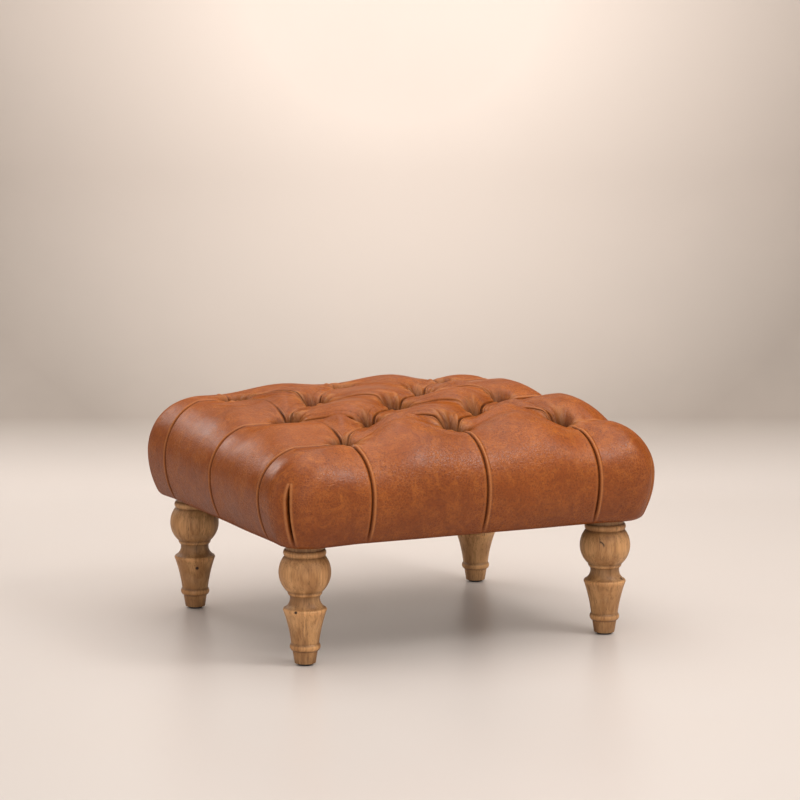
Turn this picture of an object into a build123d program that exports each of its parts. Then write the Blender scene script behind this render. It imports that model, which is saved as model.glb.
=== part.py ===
from build123d import *
import math
import os

# Leather stool: a deep-buttoned seat on a hardwood box frame with four turned legs.
# Millimetres, +Z up, origin on the floor under the middle of the stool.
# The long faces of the seat look along -Y (front) and +Y (back).

# Overall sizes
seat_width = 600.0
seat_depth = 558.0
overall_height = 342.0
cover_base_height = 172.0
leg_spacing_x = 472.0
leg_spacing_y = 420.0

# Leather cover; heights on it are above its underside
leather_thickness = 1.6
seat_corner_radius = 52.0
bulge_height = 66.0
side_curve_radius = 125.0
edge_roll_radius = 6.0
border_crown_height = 165.0
corner_crown_height = 136.0
pleat_crown_height = 135.0
pleat_groove_depth = 6.0
hem_width = 30.0
leg_gap = 1.0

# Folds of leather at the four corners
fold_width = 3.2
fold_depth = 4.0
fold_height = 96.0
fold_overrun = 5.0

# Buttoning, laid out a little askew on the frame; the drop is from the crowns to the creases at a button
tuft_pitch_x = 176.0
tuft_pitch_y = 180.0
tuft_turn = 2.7
tuft_steps = 5
tuft_drop = 31.0
tuft_floor_height = 113.0
well_radius = 11.0
well_top_overrun = 40.0

# Shape of a stuffed puff: the roundness of its swell and the places of its sections
swell_radius_share = 1.25
border_shares = [-1.05, -0.7, -0.35, 0.0, 0.35, 0.7, 1.05]
corner_shares = [-1.06, -0.7, -0.35, 0.0, 0.35, 0.7, 1.06]
diamond_shares = [-1.03, -0.55, 0.0, 0.55, 1.03]
puff_overrun = 6.0
puff_inner_rise = 14.0
diamond_base_height = 30.0
halving_limit = 1e-6

# Stuffing under the leather
padding_gap = 0.3
core_inset = 40.0
core_corner_radius = 60.0
foam_height = 52.0
foam_base_inset = 3.0
foam_top_inset = 114.0
foam_base_corner_radius = 40.0
foam_top_corner_radius = 30.0
foam_hole_radius = 22.0

# Covered buttons, their twine and the washers that hold it under the deck
button_radius = 9.6
button_rim_height = 2.0
button_height = 7.5
button_socket_depth = 4.0
twine_radius = 1.0
twine_gap = 0.1
twine_hole_radius = 2.0
deck_hole_radius = 4.0
knot_radius = 2.6
washer_radius = 8.0
washer_thickness = 1.5

# Frame
frame_inset = 33.0
frame_corner_radius = 12.0
rail_thickness = 18.0
rail_height = 60.0
deck_thickness = 12.0
block_leg = 72.0
block_ear = 20.0
block_height = 44.0
fixing_gap = 0.05

# Dowels of the frame's corners
dowel_radius = 4.0
dowel_length = 48.0
dowel_rail_depth = 12.0
dowel_height_shares = [0.27, 0.73]

# Countersunk wood screws
screw_radius = 2.0
screw_head_radius = 4.0
screw_head_height = 2.4
block_screw_length = 32.0
block_screw_inset = 9.0
block_screw_shares = [0.3, 0.7]
deck_screw_length = 34.0
deck_screw_shares = [-0.7, 0.0, 0.7]

# Leg fixings
bolt_radius = 4.0
bolt_wood_length = 32.0
bolt_tip_length = 5.0
bolt_tip_radius = 1.2
bolt_overrun = 3.0
tee_flange_radius = 9.5
tee_flange_thickness = 1.5
tee_barrel_radius = 5.2
tee_barrel_length = 9.0

# Turned legs: radii and heights above the floor, from the foot up
foot_radius = 14.8
ankle_radius = 17.5
ankle_height = 20.0
low_bead_radius = 21.4
low_bead_height = 25.5
shin_radius = 19.4
shin_height = 31.0
taper_radius = 24.4
taper_height = 58.0
flare_radius = 30.6
flare_height = 78.3
flare_rim = 2.2
cove_radius = 20.9
cove_height = 92.6
ring_foot_radius = 21.2
ring_foot_height = 97.6
ring_radius = 23.8
ring_height = 101.0
ball_radius = 36.5
ball_height = 130.9
ball_foot_radius = 24.4
neck_radius = 28.2
bead_radius = 29.9
bead_height = 158.3
bead_half_height = 4.6
collar_radius = 26.6

# Glides under the legs
glide_radius = 11.0
glide_thickness = 3.0
glide_chamfer = 1.0
nail_radius = 1.25
nail_head_radius = 3.0
nail_head_height = 1.0
nail_head_recess = 1.6
nail_length = 14.0

# Dust cover and staples
dust_thickness = 0.6
dust_inset = 9.0
dust_corner_radius = 40.0
staple_crown = 10.0
staple_wire = 0.6
staple_width = 1.2
staple_leg = 8.0
hem_staple_inset = 6.0
dust_staple_inset = 14.0
hem_staple_shares = [-0.68, -0.34, 0.0, 0.34, 0.68]
dust_staple_shares = [-0.62, -0.31, 0.0, 0.31, 0.62]

# Levels and half sizes that follow
frame_base = cover_base_height + leather_thickness
rail_top = frame_base + rail_height
deck_top = rail_top + deck_thickness
half_width = seat_width / 2
half_depth = seat_depth / 2
frame_half_x = half_width - frame_inset
frame_half_y = half_depth - frame_inset
inner_half_x = frame_half_x - rail_thickness
inner_half_y = frame_half_y - rail_thickness
half_pitch_x = tuft_pitch_x / 2
half_pitch_y = tuft_pitch_y / 2
tuft_floor = cover_base_height + tuft_floor_height
nodes = {}


def plan_turn(x, y):
    """Turn a plan point or direction of the buttoning's own grid into the stool's axes."""
    turn = math.radians(tuft_turn)
    return (x * math.cos(turn) - y * math.sin(turn), x * math.sin(turn) + y * math.cos(turn))


def tuft_rows():
    """Plan positions of the buttons, row by row from the front: three, two, three, two, three."""
    middle = (tuft_steps - 1) / 2
    rows = []
    for j in range(tuft_steps):
        steps = [i for i in range(tuft_steps) if i % 2 == j % 2]
        rows.append([plan_turn((i - middle) * half_pitch_x, (j - middle) * half_pitch_y) for i in steps])
    return rows


def tuft_points():
    """Plan positions of all buttons."""
    return [point for row in tuft_rows() for point in row]


def leg_points():
    """Plan positions of the legs' axes."""
    return [(sx * leg_spacing_x / 2, sy * leg_spacing_y / 2) for sy in (-1, 1) for sx in (-1, 1)]


def drilled(solid, points, radius, bottom, height):
    """The solid with an upright hole at each plan point."""
    holes = [Pos(x, y, bottom) * extrude(Circle(radius), amount=height) for x, y in points]
    return solid.cut(*[hole.solid() for hole in holes])


def outline_reach(start, direction):
    """Distance from a plan point to the seat's widest outline, along a unit direction."""
    def outside(distance):
        x = abs(start[0] + direction[0] * distance) - (half_width - seat_corner_radius)
        y = abs(start[1] + direction[1] * distance) - (half_depth - seat_corner_radius)
        return math.hypot(max(x, 0), max(y, 0)) + min(max(x, y), 0) > seat_corner_radius
    near, far = 0, seat_width + seat_depth
    while far - near > halving_limit:
        middle = (near + far) / 2
        if outside(middle):
            far = middle
        else:
            near = middle
    return near


def swell(share):
    """Share of a puff's full height, from a crease at minus one to a crease at one."""
    flat = math.sqrt(swell_radius_share**2 - 1)
    rise = math.sqrt(swell_radius_share**2 - share**2)
    return (rise - flat) / (swell_radius_share - flat)


def upright_plane(start, direction):
    """Plane at the cover's underside: x runs outwards in plan, y runs up."""
    outward = Vector(*direction, 0)
    return Plane(origin=(*start, cover_base_height), x_dir=outward, z_dir=outward.cross(Vector(0, 0, 1)))


def side_section(start, direction, share, full_crown, inner_reach, inset):
    """Upright section of a puff that rolls over the edge and down the side.

    Four tangent arcs run from the underside over the crown to the inner button.
    Two lines close them. The inset moves the whole section inwards, for the layers below.
    """
    reach = outline_reach(start, direction) - pleat_groove_depth * (1 - swell(share))
    crown_height = pleat_crown_height + (full_crown - pleat_crown_height) * swell(share)
    roll = edge_roll_radius - inset
    side = side_curve_radius - inset
    top = crown_height - bulge_height - inset
    waist = reach - inset
    lean = math.asin((bulge_height - edge_roll_radius) / (side_curve_radius - edge_roll_radius))
    lean_angle = math.degrees(lean)
    roll_centre = (waist - side + (side - roll) * math.cos(lean), edge_roll_radius)
    span = waist - top - inner_reach
    drop = crown_height - tuft_floor_height - puff_inner_rise
    over = (span**2 + drop**2) / (2 * drop)
    fall = math.degrees(math.asin(span / over))
    arcs = [
        CenterArc(roll_centre, roll, -90, 90 - lean_angle),
        CenterArc((waist - side, bulge_height), side, -lean_angle, lean_angle),
        CenterArc((waist - top, bulge_height), top, 0, 90),
        CenterArc((waist - top, crown_height - over), over - inset, 90, fall),
    ]
    inner = arcs[-1] @ 1
    foot = Vector(inner.X, inset)
    outline = Curve() + [*arcs, Line(inner, foot), Line(foot, arcs[0] @ 0)]
    return upright_plane(start, direction) * make_face(outline)


def border_puff(middle, along, outward, half_pitch, inner_depth, inset):
    """Stuffed channel between two pleats of one side, up to the inner button between them."""
    sections = []
    for share in border_shares:
        offset = half_pitch * share
        start = plan_turn(middle[0] + along[0] * offset, middle[1] + along[1] * offset)
        direction = plan_turn(*outward)
        inner_reach = inner_depth - puff_overrun
        sections.append(side_section(start, direction, share, border_crown_height, inner_reach, inset))
    return loft(sections)


def corner_direction(side_x, side_y, share):
    """Direction from a corner button, from the front or back at minus one to the side at one."""
    angle = math.radians(90) * (share + 1) / 2
    return plan_turn(side_x * math.sin(angle), side_y * math.cos(angle))


def corner_puff(side_x, side_y, inset):
    """Stuffed corner between two pleats, swept round its corner button."""
    start = plan_turn(side_x * tuft_pitch_x, side_y * tuft_pitch_y)
    sections = []
    for share in corner_shares:
        direction = corner_direction(side_x, side_y, share)
        sections.append(side_section(start, direction, share, corner_crown_height, puff_overrun, inset))
    return loft(sections)


def diamond_puff(centre, inset):
    """Square stuffed puff on point between four buttons, round both ways."""
    round_x = half_pitch_x**2 / (2 * tuft_drop) + tuft_drop / 2
    round_y = half_pitch_y**2 / (2 * tuft_drop) + tuft_drop / 2
    crown = overall_height - cover_base_height
    width = half_pitch_y * max(diamond_shares)
    radius = round_y - inset
    spread = math.degrees(math.asin(width / radius))
    sections = []
    for share in diamond_shares:
        offset = half_pitch_x * share
        top = crown - round_x + math.sqrt((round_x - inset)**2 - offset**2)
        arc = CenterArc((0, top - radius), radius, 90 - spread, 2 * spread)
        right = Vector((arc @ 0).X, diamond_base_height)
        left = Vector((arc @ 1).X, diamond_base_height)
        outline = Curve() + [arc, Line(arc @ 1, left), Line(left, right), Line(right, arc @ 0)]
        start = plan_turn(centre[0] + offset, centre[1])
        sections.append(upright_plane(start, plan_turn(0, 1)) * make_face(outline))
    return loft(sections)


def corner_fold(side_x, side_y, inset):
    """Slot that follows the side at a corner, where the leather is folded in."""
    tuft = Vector(*plan_turn(side_x * tuft_pitch_x, side_y * tuft_pitch_y))
    arc_middle = seat_corner_radius / math.sqrt(2) - seat_corner_radius
    corner = Vector(side_x * (half_width + arc_middle), side_y * (half_depth + arc_middle))
    aim = (corner - tuft).normalized()
    direction = (aim.X, aim.Y)
    waist = outline_reach((tuft.X, tuft.Y), direction)
    deep = fold_depth + inset
    side = side_curve_radius - deep
    top = corner_crown_height - bulge_height - deep
    low = math.degrees(math.asin((bulge_height + fold_overrun) / side))
    high = math.degrees(math.asin((fold_height + inset - bulge_height) / top))
    lower = CenterArc((waist - side_curve_radius, bulge_height), side, -low, low)
    upper = CenterArc((waist - top - deep, bulge_height), top, 0, high)
    outer = waist + fold_overrun
    roof = Vector(outer, (upper @ 1).Y)
    floor = Vector(outer, (lower @ 0).Y)
    outline = Curve() + [lower, upper, Line(upper @ 1, roof), Line(roof, floor), Line(floor, lower @ 0)]
    face = upright_plane((tuft.X, tuft.Y), direction) * make_face(outline)
    return extrude(face, amount=fold_width / 2 + inset, both=True)


def rounded_block(half_x, half_y, radius, bottom, height):
    """Upright block with rounded corners, centred on the stool."""
    return Pos(0, 0, bottom) * extrude(RectangleRounded(2 * half_x, 2 * half_y, radius), amount=height)


def tufted_body(inset):
    """The whole buttoned shape, moved inwards by the inset: core, puffs, wells and corner folds."""
    core = rounded_block(half_width - core_inset, half_depth - core_inset, core_corner_radius,
                         cover_base_height + inset, tuft_floor_height - 2 * inset)
    puffs = []
    for side in (-1, 1):
        for along in (-half_pitch_x, half_pitch_x):
            puffs.append(border_puff((along, 0), (1, 0), (0, side), half_pitch_x, half_pitch_y, inset))
        for along in (-half_pitch_y, half_pitch_y):
            puffs.append(border_puff((0, along), (0, 1), (side, 0), half_pitch_y, half_pitch_x, inset))
        puffs.append(diamond_puff((side * half_pitch_x, 0), inset))
        puffs.append(diamond_puff((0, side * half_pitch_y), inset))
    corners = [(side_x, side_y) for side_x in (-1, 1) for side_y in (-1, 1)]
    puffs += [corner_puff(*corner, inset) for corner in corners]
    body = core.fuse(*puffs)
    body = drilled(body, tuft_points(), well_radius + inset, tuft_floor - inset, tuft_drop + well_top_overrun)
    return body.cut(*[corner_fold(*corner, inset).solid() for corner in corners])


def staple(x, y, along_x, base):
    """Staple with its crown's lower face at the base, lying along X or along Y."""
    size = (staple_crown, staple_width) if along_x else (staple_width, staple_crown)
    lift = (Align.CENTER, Align.CENTER, Align.MIN)
    crown = Pos(x, y, base) * Box(*size, staple_wire, align=lift)
    reach = (staple_crown - staple_wire) / 2
    result = crown
    for end in (-reach, reach):
        foot = (staple_wire, staple_width) if along_x else (staple_width, staple_wire)
        place = Pos(x + end, y, base) if along_x else Pos(x, y + end, base)
        result += place * Box(*foot, staple_leg, align=lift)
    return result.solid()


def staple_ring(inset, shares, base):
    """Staples along all four rails, at an inset from the frame's outer faces."""
    ring = []
    for side in (-1, 1):
        for share in shares:
            ring.append(staple(share * frame_half_x, side * (frame_half_y - inset), True, base))
            ring.append(staple(side * (frame_half_x - inset), share * frame_half_y, False, base))
    return ring


def screw(length):
    """Countersunk wood screw along -Z, its head's face at the origin."""
    head = Pos(0, 0, -screw_head_height) * Cone(screw_radius, screw_head_radius, screw_head_height,
                                               align=(Align.CENTER, Align.CENTER, Align.MIN))
    shank = Cylinder(screw_radius, length - screw_head_height - screw_radius,
                     align=(Align.CENTER, Align.CENTER, Align.MAX))
    tip = Cone(0, screw_radius, screw_radius, align=(Align.CENTER, Align.CENTER, Align.MAX))
    tip_level = screw_radius - length
    return (head + Pos(0, 0, -screw_head_height) * shank + Pos(0, 0, tip_level) * tip).solid()


def deck_screws():
    """Screws down through the deck into all four rails."""
    line_x = frame_half_x - rail_thickness / 2
    line_y = frame_half_y - rail_thickness / 2
    places = []
    for side in (-1, 1):
        for share in deck_screw_shares:
            places.append((share * frame_half_x, side * line_y))
            places.append((side * line_x, share * inner_half_y))
    return [Pos(x, y, deck_top) * screw(deck_screw_length) for x, y in places]


def block_screws():
    """Screws through the ears of the corner blocks into the rails."""
    screws = []
    along = block_leg - block_screw_inset
    for side_x in (-1, 1):
        for side_y in (-1, 1):
            for share in block_screw_shares:
                level = frame_base + block_height * share
                to_y = Pos(side_x * (inner_half_x - along), side_y * (inner_half_y - block_ear), level)
                to_x = Pos(side_x * (inner_half_x - block_ear), side_y * (inner_half_y - along), level)
                screws.append(to_y * Rot(90 * side_y, 0, 0) * screw(block_screw_length))
                screws.append(to_x * Rot(0, -90 * side_x, 0) * screw(block_screw_length))
    return screws


def dowels(gap):
    """Dowels from the front and back rails into the ends of the side rails, grown by a gap."""
    centre_y = inner_half_y + dowel_rail_depth - dowel_length / 2
    pegs = []
    for side_x in (-1, 1):
        for side_y in (-1, 1):
            for share in dowel_height_shares:
                place = Pos(side_x * (frame_half_x - rail_thickness / 2), side_y * centre_y,
                            frame_base + rail_height * share)
                pegs.append(place * Rot(90, 0, 0) * Cylinder(dowel_radius + gap, dowel_length + 2 * gap))
    return [peg.solid() for peg in pegs]


def add_frame(staples, deck_fixings, block_fixings):
    """Four rails, four corner blocks, the deck and what joins them."""
    holes = dowels(fixing_gap)
    cutters = [*staples, *deck_fixings, *block_fixings, *holes]
    lift = (Align.CENTER, Align.CENTER, Align.MIN)
    for name, side in (("front", -1), ("back", 1)):
        rail = Pos(0, side * (frame_half_y - rail_thickness / 2), frame_base) * Box(
            2 * frame_half_x, rail_thickness, rail_height, align=lift)
        outer_edges = rail.edges().filter_by(Axis.Z).group_by(Axis.Y)[0 if side < 0 else -1]
        nodes[f"{name}_rail"] = fillet(outer_edges, frame_corner_radius).cut(*cutters)
    for name, side in (("left", -1), ("right", 1)):
        rail = Pos(side * (frame_half_x - rail_thickness / 2), 0, frame_base) * Box(
            rail_thickness, 2 * inner_half_y, rail_height, align=lift)
        nodes[f"{name}_rail"] = rail.cut(*cutters)
    nodes["rail_dowels"] = dowels(0)
    nodes["corner_block_screws"] = block_fixings
    nodes["deck_screws"] = deck_fixings
    deck = rounded_block(frame_half_x, frame_half_y, frame_corner_radius, rail_top, deck_thickness)
    deck = drilled(deck, tuft_points(), deck_hole_radius, rail_top, deck_thickness)
    nodes["plywood_deck"] = deck.cut(*deck_fixings)
    for (x, y), name in zip(leg_points(), leg_names):
        nodes[f"corner_block_{name}"] = corner_block(math.copysign(1, x), math.copysign(1, y), block_fixings)


def corner_block(side_x, side_y, fixings):
    """Block in a corner of the frame, bored for the leg's bolt and its tee nut."""
    cut = block_leg - block_ear
    outline = [(0, 0), (block_leg, 0), (block_leg, block_ear), (cut, block_ear),
               (block_ear, cut), (block_ear, block_leg), (0, block_leg)]
    points = [(side_x * (inner_half_x - x), side_y * (inner_half_y - y)) for x, y in outline]
    block = Pos(0, 0, frame_base) * extrude(
        Polygon(*points, align=None), amount=block_height, dir=(0, 0, 1))
    axis = [(side_x * leg_spacing_x / 2, side_y * leg_spacing_y / 2)]
    top = frame_base + block_height
    block = drilled(block, axis, bolt_radius + fixing_gap, frame_base, block_height)
    block = drilled(block, axis, tee_barrel_radius + fixing_gap, top - tee_barrel_length, tee_barrel_length)
    return block.cut(*fixings)


def leg_solid():
    """Turned leg about the Z axis, from the glide up to the frame, bored for its bolt and nail."""
    top = frame_base
    side = [
        Line((0, glide_thickness), (foot_radius, glide_thickness)),
        Line((foot_radius, glide_thickness), (ankle_radius, ankle_height)),
        ThreePointArc((ankle_radius, ankle_height), (low_bead_radius, low_bead_height), (shin_radius, shin_height)),
        ThreePointArc((shin_radius, shin_height), (taper_radius, taper_height), (flare_radius, flare_height)),
        Line((flare_radius, flare_height), (flare_radius - flare_rim / 2, flare_height + flare_rim)),
        ThreePointArc((flare_radius - flare_rim / 2, flare_height + flare_rim), (cove_radius, cove_height),
                      (ring_foot_radius, ring_foot_height)),
    ]
    ball_foot = ball_height - math.sqrt(ball_radius**2 - ball_foot_radius**2)
    neck = ball_height + math.sqrt(ball_radius**2 - neck_radius**2)
    side += [
        ThreePointArc((ring_foot_radius, ring_foot_height), (ring_radius, ring_height), (ball_foot_radius, ball_foot)),
        ThreePointArc((ball_foot_radius, ball_foot), (ball_radius, ball_height), (neck_radius, neck)),
        ThreePointArc((neck_radius, neck), (bead_radius, bead_height), (neck_radius, bead_height + bead_half_height)),
        Line((neck_radius, bead_height + bead_half_height), (collar_radius, bead_height + bead_half_height)),
        Line((collar_radius, bead_height + bead_half_height), (collar_radius, top)),
        Line((collar_radius, top), (0, top)),
        Line((0, top), (0, glide_thickness)),
    ]
    turned = revolve(Plane.XZ * make_face(Curve() + side), Axis.Z)
    bolt_hole = Pos(0, 0, top - bolt_wood_length) * extrude(
        Circle(bolt_radius + fixing_gap), amount=bolt_wood_length)
    nail_hole = Pos(0, 0, glide_thickness) * extrude(Circle(nail_radius + fixing_gap), amount=nail_length)
    return turned.cut(bolt_hole.solid(), nail_hole.solid())


def hanger_bolt():
    """Bolt from the leg through the corner block, pointed at its lower end."""
    top = frame_base + block_height + tee_flange_thickness + bolt_overrun
    bottom = frame_base - bolt_wood_length
    shank_bottom = bottom + bolt_tip_length
    lift = (Align.CENTER, Align.CENTER, Align.MIN)
    shank = Pos(0, 0, shank_bottom) * Cylinder(bolt_radius, top - shank_bottom, align=lift)
    return (shank + Pos(0, 0, bottom) * Cone(bolt_tip_radius, bolt_radius, bolt_tip_length, align=lift)).solid()


def tee_nut():
    """Tee nut pressed into the top of a corner block."""
    top = frame_base + block_height
    lift = (Align.CENTER, Align.CENTER, Align.MIN)
    flange = Pos(0, 0, top) * Cylinder(tee_flange_radius, tee_flange_thickness, align=lift)
    barrel = Pos(0, 0, top - tee_barrel_length) * Cylinder(tee_barrel_radius, tee_barrel_length, align=lift)
    height = tee_barrel_length + tee_flange_thickness
    bore = Pos(0, 0, top - tee_barrel_length) * Cylinder(bolt_radius + fixing_gap, height, align=lift)
    return (flange + barrel - bore).solid()


def glide():
    """Nylon glide under a leg, recessed for the head of its nail."""
    lift = (Align.CENTER, Align.CENTER, Align.MIN)
    disc = Cylinder(glide_radius, glide_thickness, align=lift)
    disc = chamfer(disc.edges().group_by(Axis.Z)[0], glide_chamfer)
    recess = Cylinder(nail_head_radius + fixing_gap, nail_head_recess, align=lift)
    hole = Cylinder(nail_radius + fixing_gap, glide_thickness, align=lift)
    return (disc - recess - hole).solid()


def glide_nail():
    """Nail of a glide, its head clear of the floor."""
    lift = (Align.CENTER, Align.CENTER, Align.MIN)
    head_base = nail_head_recess - nail_head_height
    head = Pos(0, 0, head_base) * Cylinder(nail_head_radius, nail_head_height, align=lift)
    length = glide_thickness + nail_length - nail_head_recess
    return (head + Pos(0, 0, nail_head_recess) * Cylinder(nail_radius, length, align=lift)).solid()


def add_legs():
    """Legs with their glides, nails, bolts and tee nuts."""
    places = leg_points()
    for (x, y), name in zip(places, leg_names):
        nodes[f"leg_{name}"] = Pos(x, y, 0) * leg_solid()
        nodes[f"glide_{name}"] = Pos(x, y, 0) * glide()
    nodes["glide_nails"] = [Pos(x, y, 0) * glide_nail() for x, y in places]
    nodes["hanger_bolts"] = [Pos(x, y, 0) * hanger_bolt() for x, y in places]
    nodes["tee_nuts"] = [Pos(x, y, 0) * tee_nut() for x, y in places]


def foam_pad(gap):
    """Foam block with bevelled sides, grown by a gap, with its holes for the buttoning."""
    base = Pos(0, 0, deck_top) * RectangleRounded(2 * (frame_half_x - foam_base_inset + gap),
                                                  2 * (frame_half_y - foam_base_inset + gap),
                                                  foam_base_corner_radius)
    top = Pos(0, 0, deck_top + foam_height + gap) * RectangleRounded(2 * (half_width - foam_top_inset + gap),
                                                                     2 * (half_depth - foam_top_inset + gap),
                                                                     foam_top_corner_radius)
    block = loft([base, top], ruled=True)
    return drilled(block, tuft_points(), foam_hole_radius - gap, deck_top, foam_height + gap)


def add_padding():
    """Foam pad and the wadding between it, the frame and the leather."""
    nodes["foam_pad"] = foam_pad(0)
    outer = tufted_body(leather_thickness + padding_gap)
    frame_box = rounded_block(frame_half_x, frame_half_y, frame_corner_radius,
                              cover_base_height, deck_top - cover_base_height)
    wadding = outer.cut(frame_box.solid(), foam_pad(padding_gap).solid())
    nodes["wadding"] = drilled(wadding, tuft_points(), twine_hole_radius, deck_top, tuft_floor - deck_top)


def add_cover(hem_staples, dust_staples):
    """Leather cover: the tufted shell, turned in under the frame and trimmed round the legs."""
    shell = tufted_body(0).cut(tufted_body(leather_thickness).solid())
    opening = rounded_block(frame_half_x - hem_width, frame_half_y - hem_width, frame_corner_radius,
                            cover_base_height, leather_thickness)
    shell = shell.cut(opening.solid(), *hem_staples, *dust_staples)
    shell = drilled(shell, leg_points(), collar_radius + leg_gap, cover_base_height, leather_thickness)
    nodes["leather_cover"] = drilled(shell, tuft_points(), twine_hole_radius,
                                     tuft_floor - leather_thickness, leather_thickness)


def add_dust_cover(dust_staples):
    """Thin cloth under the frame, cut out round the legs, with its staples."""
    bottom = cover_base_height - dust_thickness
    sheet = rounded_block(frame_half_x - dust_inset, frame_half_y - dust_inset, dust_corner_radius,
                          bottom, dust_thickness)
    sheet = drilled(sheet, leg_points(), collar_radius + leg_gap, bottom, dust_thickness)
    nodes["dust_cover"] = sheet.cut(*dust_staples)


def covered_button():
    """Domed button covered in leather, with a socket for its twine."""
    rise = button_height - button_rim_height
    dome_radius = (button_radius**2 + rise**2) / (2 * rise)
    spread = math.degrees(math.asin(button_radius / dome_radius))
    dome = [
        Line((0, 0), (button_radius, 0)),
        Line((button_radius, 0), (button_radius, button_rim_height)),
        CenterArc((0, button_height - dome_radius), dome_radius, 90 - spread, spread),
        Line((0, button_height), (0, 0)),
    ]
    body = revolve(Plane.XZ * make_face(Curve() + dome), Axis.Z)
    socket = extrude(Circle(twine_radius + twine_gap), amount=button_socket_depth)
    return body.cut(socket.solid())


def button_twine():
    """Twine from a button's socket down to the knot under the deck."""
    bottom = rail_top - washer_thickness - knot_radius
    top = tuft_floor + button_socket_depth - twine_gap
    lift = (Align.CENTER, Align.CENTER, Align.MIN)
    return (Pos(0, 0, bottom) * (Cylinder(twine_radius, top - bottom, align=lift) + Sphere(knot_radius))).solid()


def twine_washer():
    """Washer that spreads a twine's pull on the deck."""
    place = Pos(0, 0, rail_top - washer_thickness)
    ring = extrude(Circle(washer_radius) - Circle(twine_radius + twine_gap), amount=washer_thickness)
    return (place * ring).solid()


def add_buttoning():
    """Buttons, one node each, with their twine and washers as groups."""
    for row, points in enumerate(tuft_rows(), start=1):
        for place, (x, y) in enumerate(points, start=1):
            nodes[f"button_row{row}_{place}"] = Pos(x, y, tuft_floor) * covered_button()
    nodes["button_twines"] = [Pos(x, y, 0) * button_twine() for x, y in tuft_points()]
    nodes["twine_washers"] = [Pos(x, y, 0) * twine_washer() for x, y in tuft_points()]


def write_nodes():
    """Write each node to its own file."""
    os.makedirs("parts", exist_ok=True)
    for name, shape in nodes.items():
        solids = shape if isinstance(shape, list) else shape.solids()
        export_step(Compound(children=list(solids)) if len(solids) > 1 else solids[0], f"parts/{name}.step")


leg_names = ["front_left", "front_right", "back_left", "back_right"]
hem_ring = staple_ring(hem_staple_inset, hem_staple_shares, cover_base_height)
dust_ring = staple_ring(dust_staple_inset, dust_staple_shares, cover_base_height - dust_thickness - staple_wire)
nodes["hem_staples"] = hem_ring
nodes["dust_cover_staples"] = dust_ring
add_frame(hem_ring + dust_ring, deck_screws(), block_screws())
add_legs()
add_padding()
add_cover(hem_ring, dust_ring)
add_dust_cover(dust_ring)
add_buttoning()
write_nodes()
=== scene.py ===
# %% [markdown]
# # A buttoned leather stool
#
# The photo shows a hide, buttoned thirteen times, on four turned oak legs. What is under the hide is a
# guess from how such stools are made: a hardwood box, with foam and wadding on it. The construction comes
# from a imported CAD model, and this lesson dresses it. The hide, the wadding and the buttons get new
# meshes, and the rest keeps its own. All lengths are in metres, the floor is z = 0, and the front of the
# stool looks along -Y.


# %% Load the construction
import math

import bpy
import numpy as np
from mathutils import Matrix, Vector
from mathutils.bvhtree import BVHTree
from mathutils.kdtree import KDTree


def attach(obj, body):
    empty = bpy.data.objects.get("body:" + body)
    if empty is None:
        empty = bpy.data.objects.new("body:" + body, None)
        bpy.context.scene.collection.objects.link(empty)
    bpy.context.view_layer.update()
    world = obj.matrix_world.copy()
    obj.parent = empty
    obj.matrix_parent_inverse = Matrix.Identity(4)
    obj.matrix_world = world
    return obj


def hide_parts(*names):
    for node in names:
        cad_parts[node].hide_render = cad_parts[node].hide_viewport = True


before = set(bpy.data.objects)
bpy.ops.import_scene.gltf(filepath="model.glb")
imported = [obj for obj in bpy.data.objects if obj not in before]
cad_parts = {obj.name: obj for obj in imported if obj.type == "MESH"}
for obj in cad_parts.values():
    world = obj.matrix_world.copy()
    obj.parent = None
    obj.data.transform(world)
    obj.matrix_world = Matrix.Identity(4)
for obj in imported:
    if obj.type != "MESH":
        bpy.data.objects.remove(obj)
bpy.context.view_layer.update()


# %% [markdown]
# ## Sizes
#
# An upholsterer works from the buttoning plan: the pitch of the buttons, how deep they are pulled, and how
# wide the seat is. The cover's plan follows from these few numbers. Most of them repeat the construction's
# own. The bottom edge is rounder here, and the wells end 0.6 mm higher. The buttoning lies a little askew
# on the frame, as in the photo.


# %% Sizes of the seat and its buttoning
seat_width = 0.600
seat_depth = 0.558
base_height = 0.172
waist_height = 0.238
seat_corner_radius = 0.052
side_curve_radius = 0.125
edge_roll_radius = 0.014

tuft_pitch_x = 0.176
tuft_pitch_y = 0.180
tuft_turn = math.radians(2.7)
half_x = tuft_pitch_x / 2
half_y = tuft_pitch_y / 2
button_seat = 0.2856
button_radius = 0.0096

frame_inset = 0.033
hem_width = 0.030
leg_hole_radius = 0.0276
leg_x = 0.236
leg_y = 0.210
print("pitch of the buttons", tuft_pitch_x, "by", tuft_pitch_y)


# %% [markdown]
# ## The buttoning plan
#
# Five rows of buttons stand in quincunx: three, two, three, two, three. Each button has a place in a grid
# of half steps, so its neighbours are easy to name. The grid could be typed out as points, but then a
# changed pitch would mean thirteen new pairs. Here the pitch alone decides them.


# %% Where the buttons are
def turned(points, angle=tuft_turn):
    """Plan points of the buttoning's own grid, turned into the stool's axes."""
    points = np.asarray(points, float)
    x, y = points[..., 0], points[..., 1]
    cos, sin = math.cos(angle), math.sin(angle)
    return np.stack([x * cos - y * sin, x * sin + y * cos], axis=-1)


tufts = {(i, j): ((i - 2) * half_x, (j - 2) * half_y) for j in range(5) for i in range(5) if i % 2 == j % 2}
print(len(tufts), "buttons in rows of three, two, three, two, three")


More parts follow.
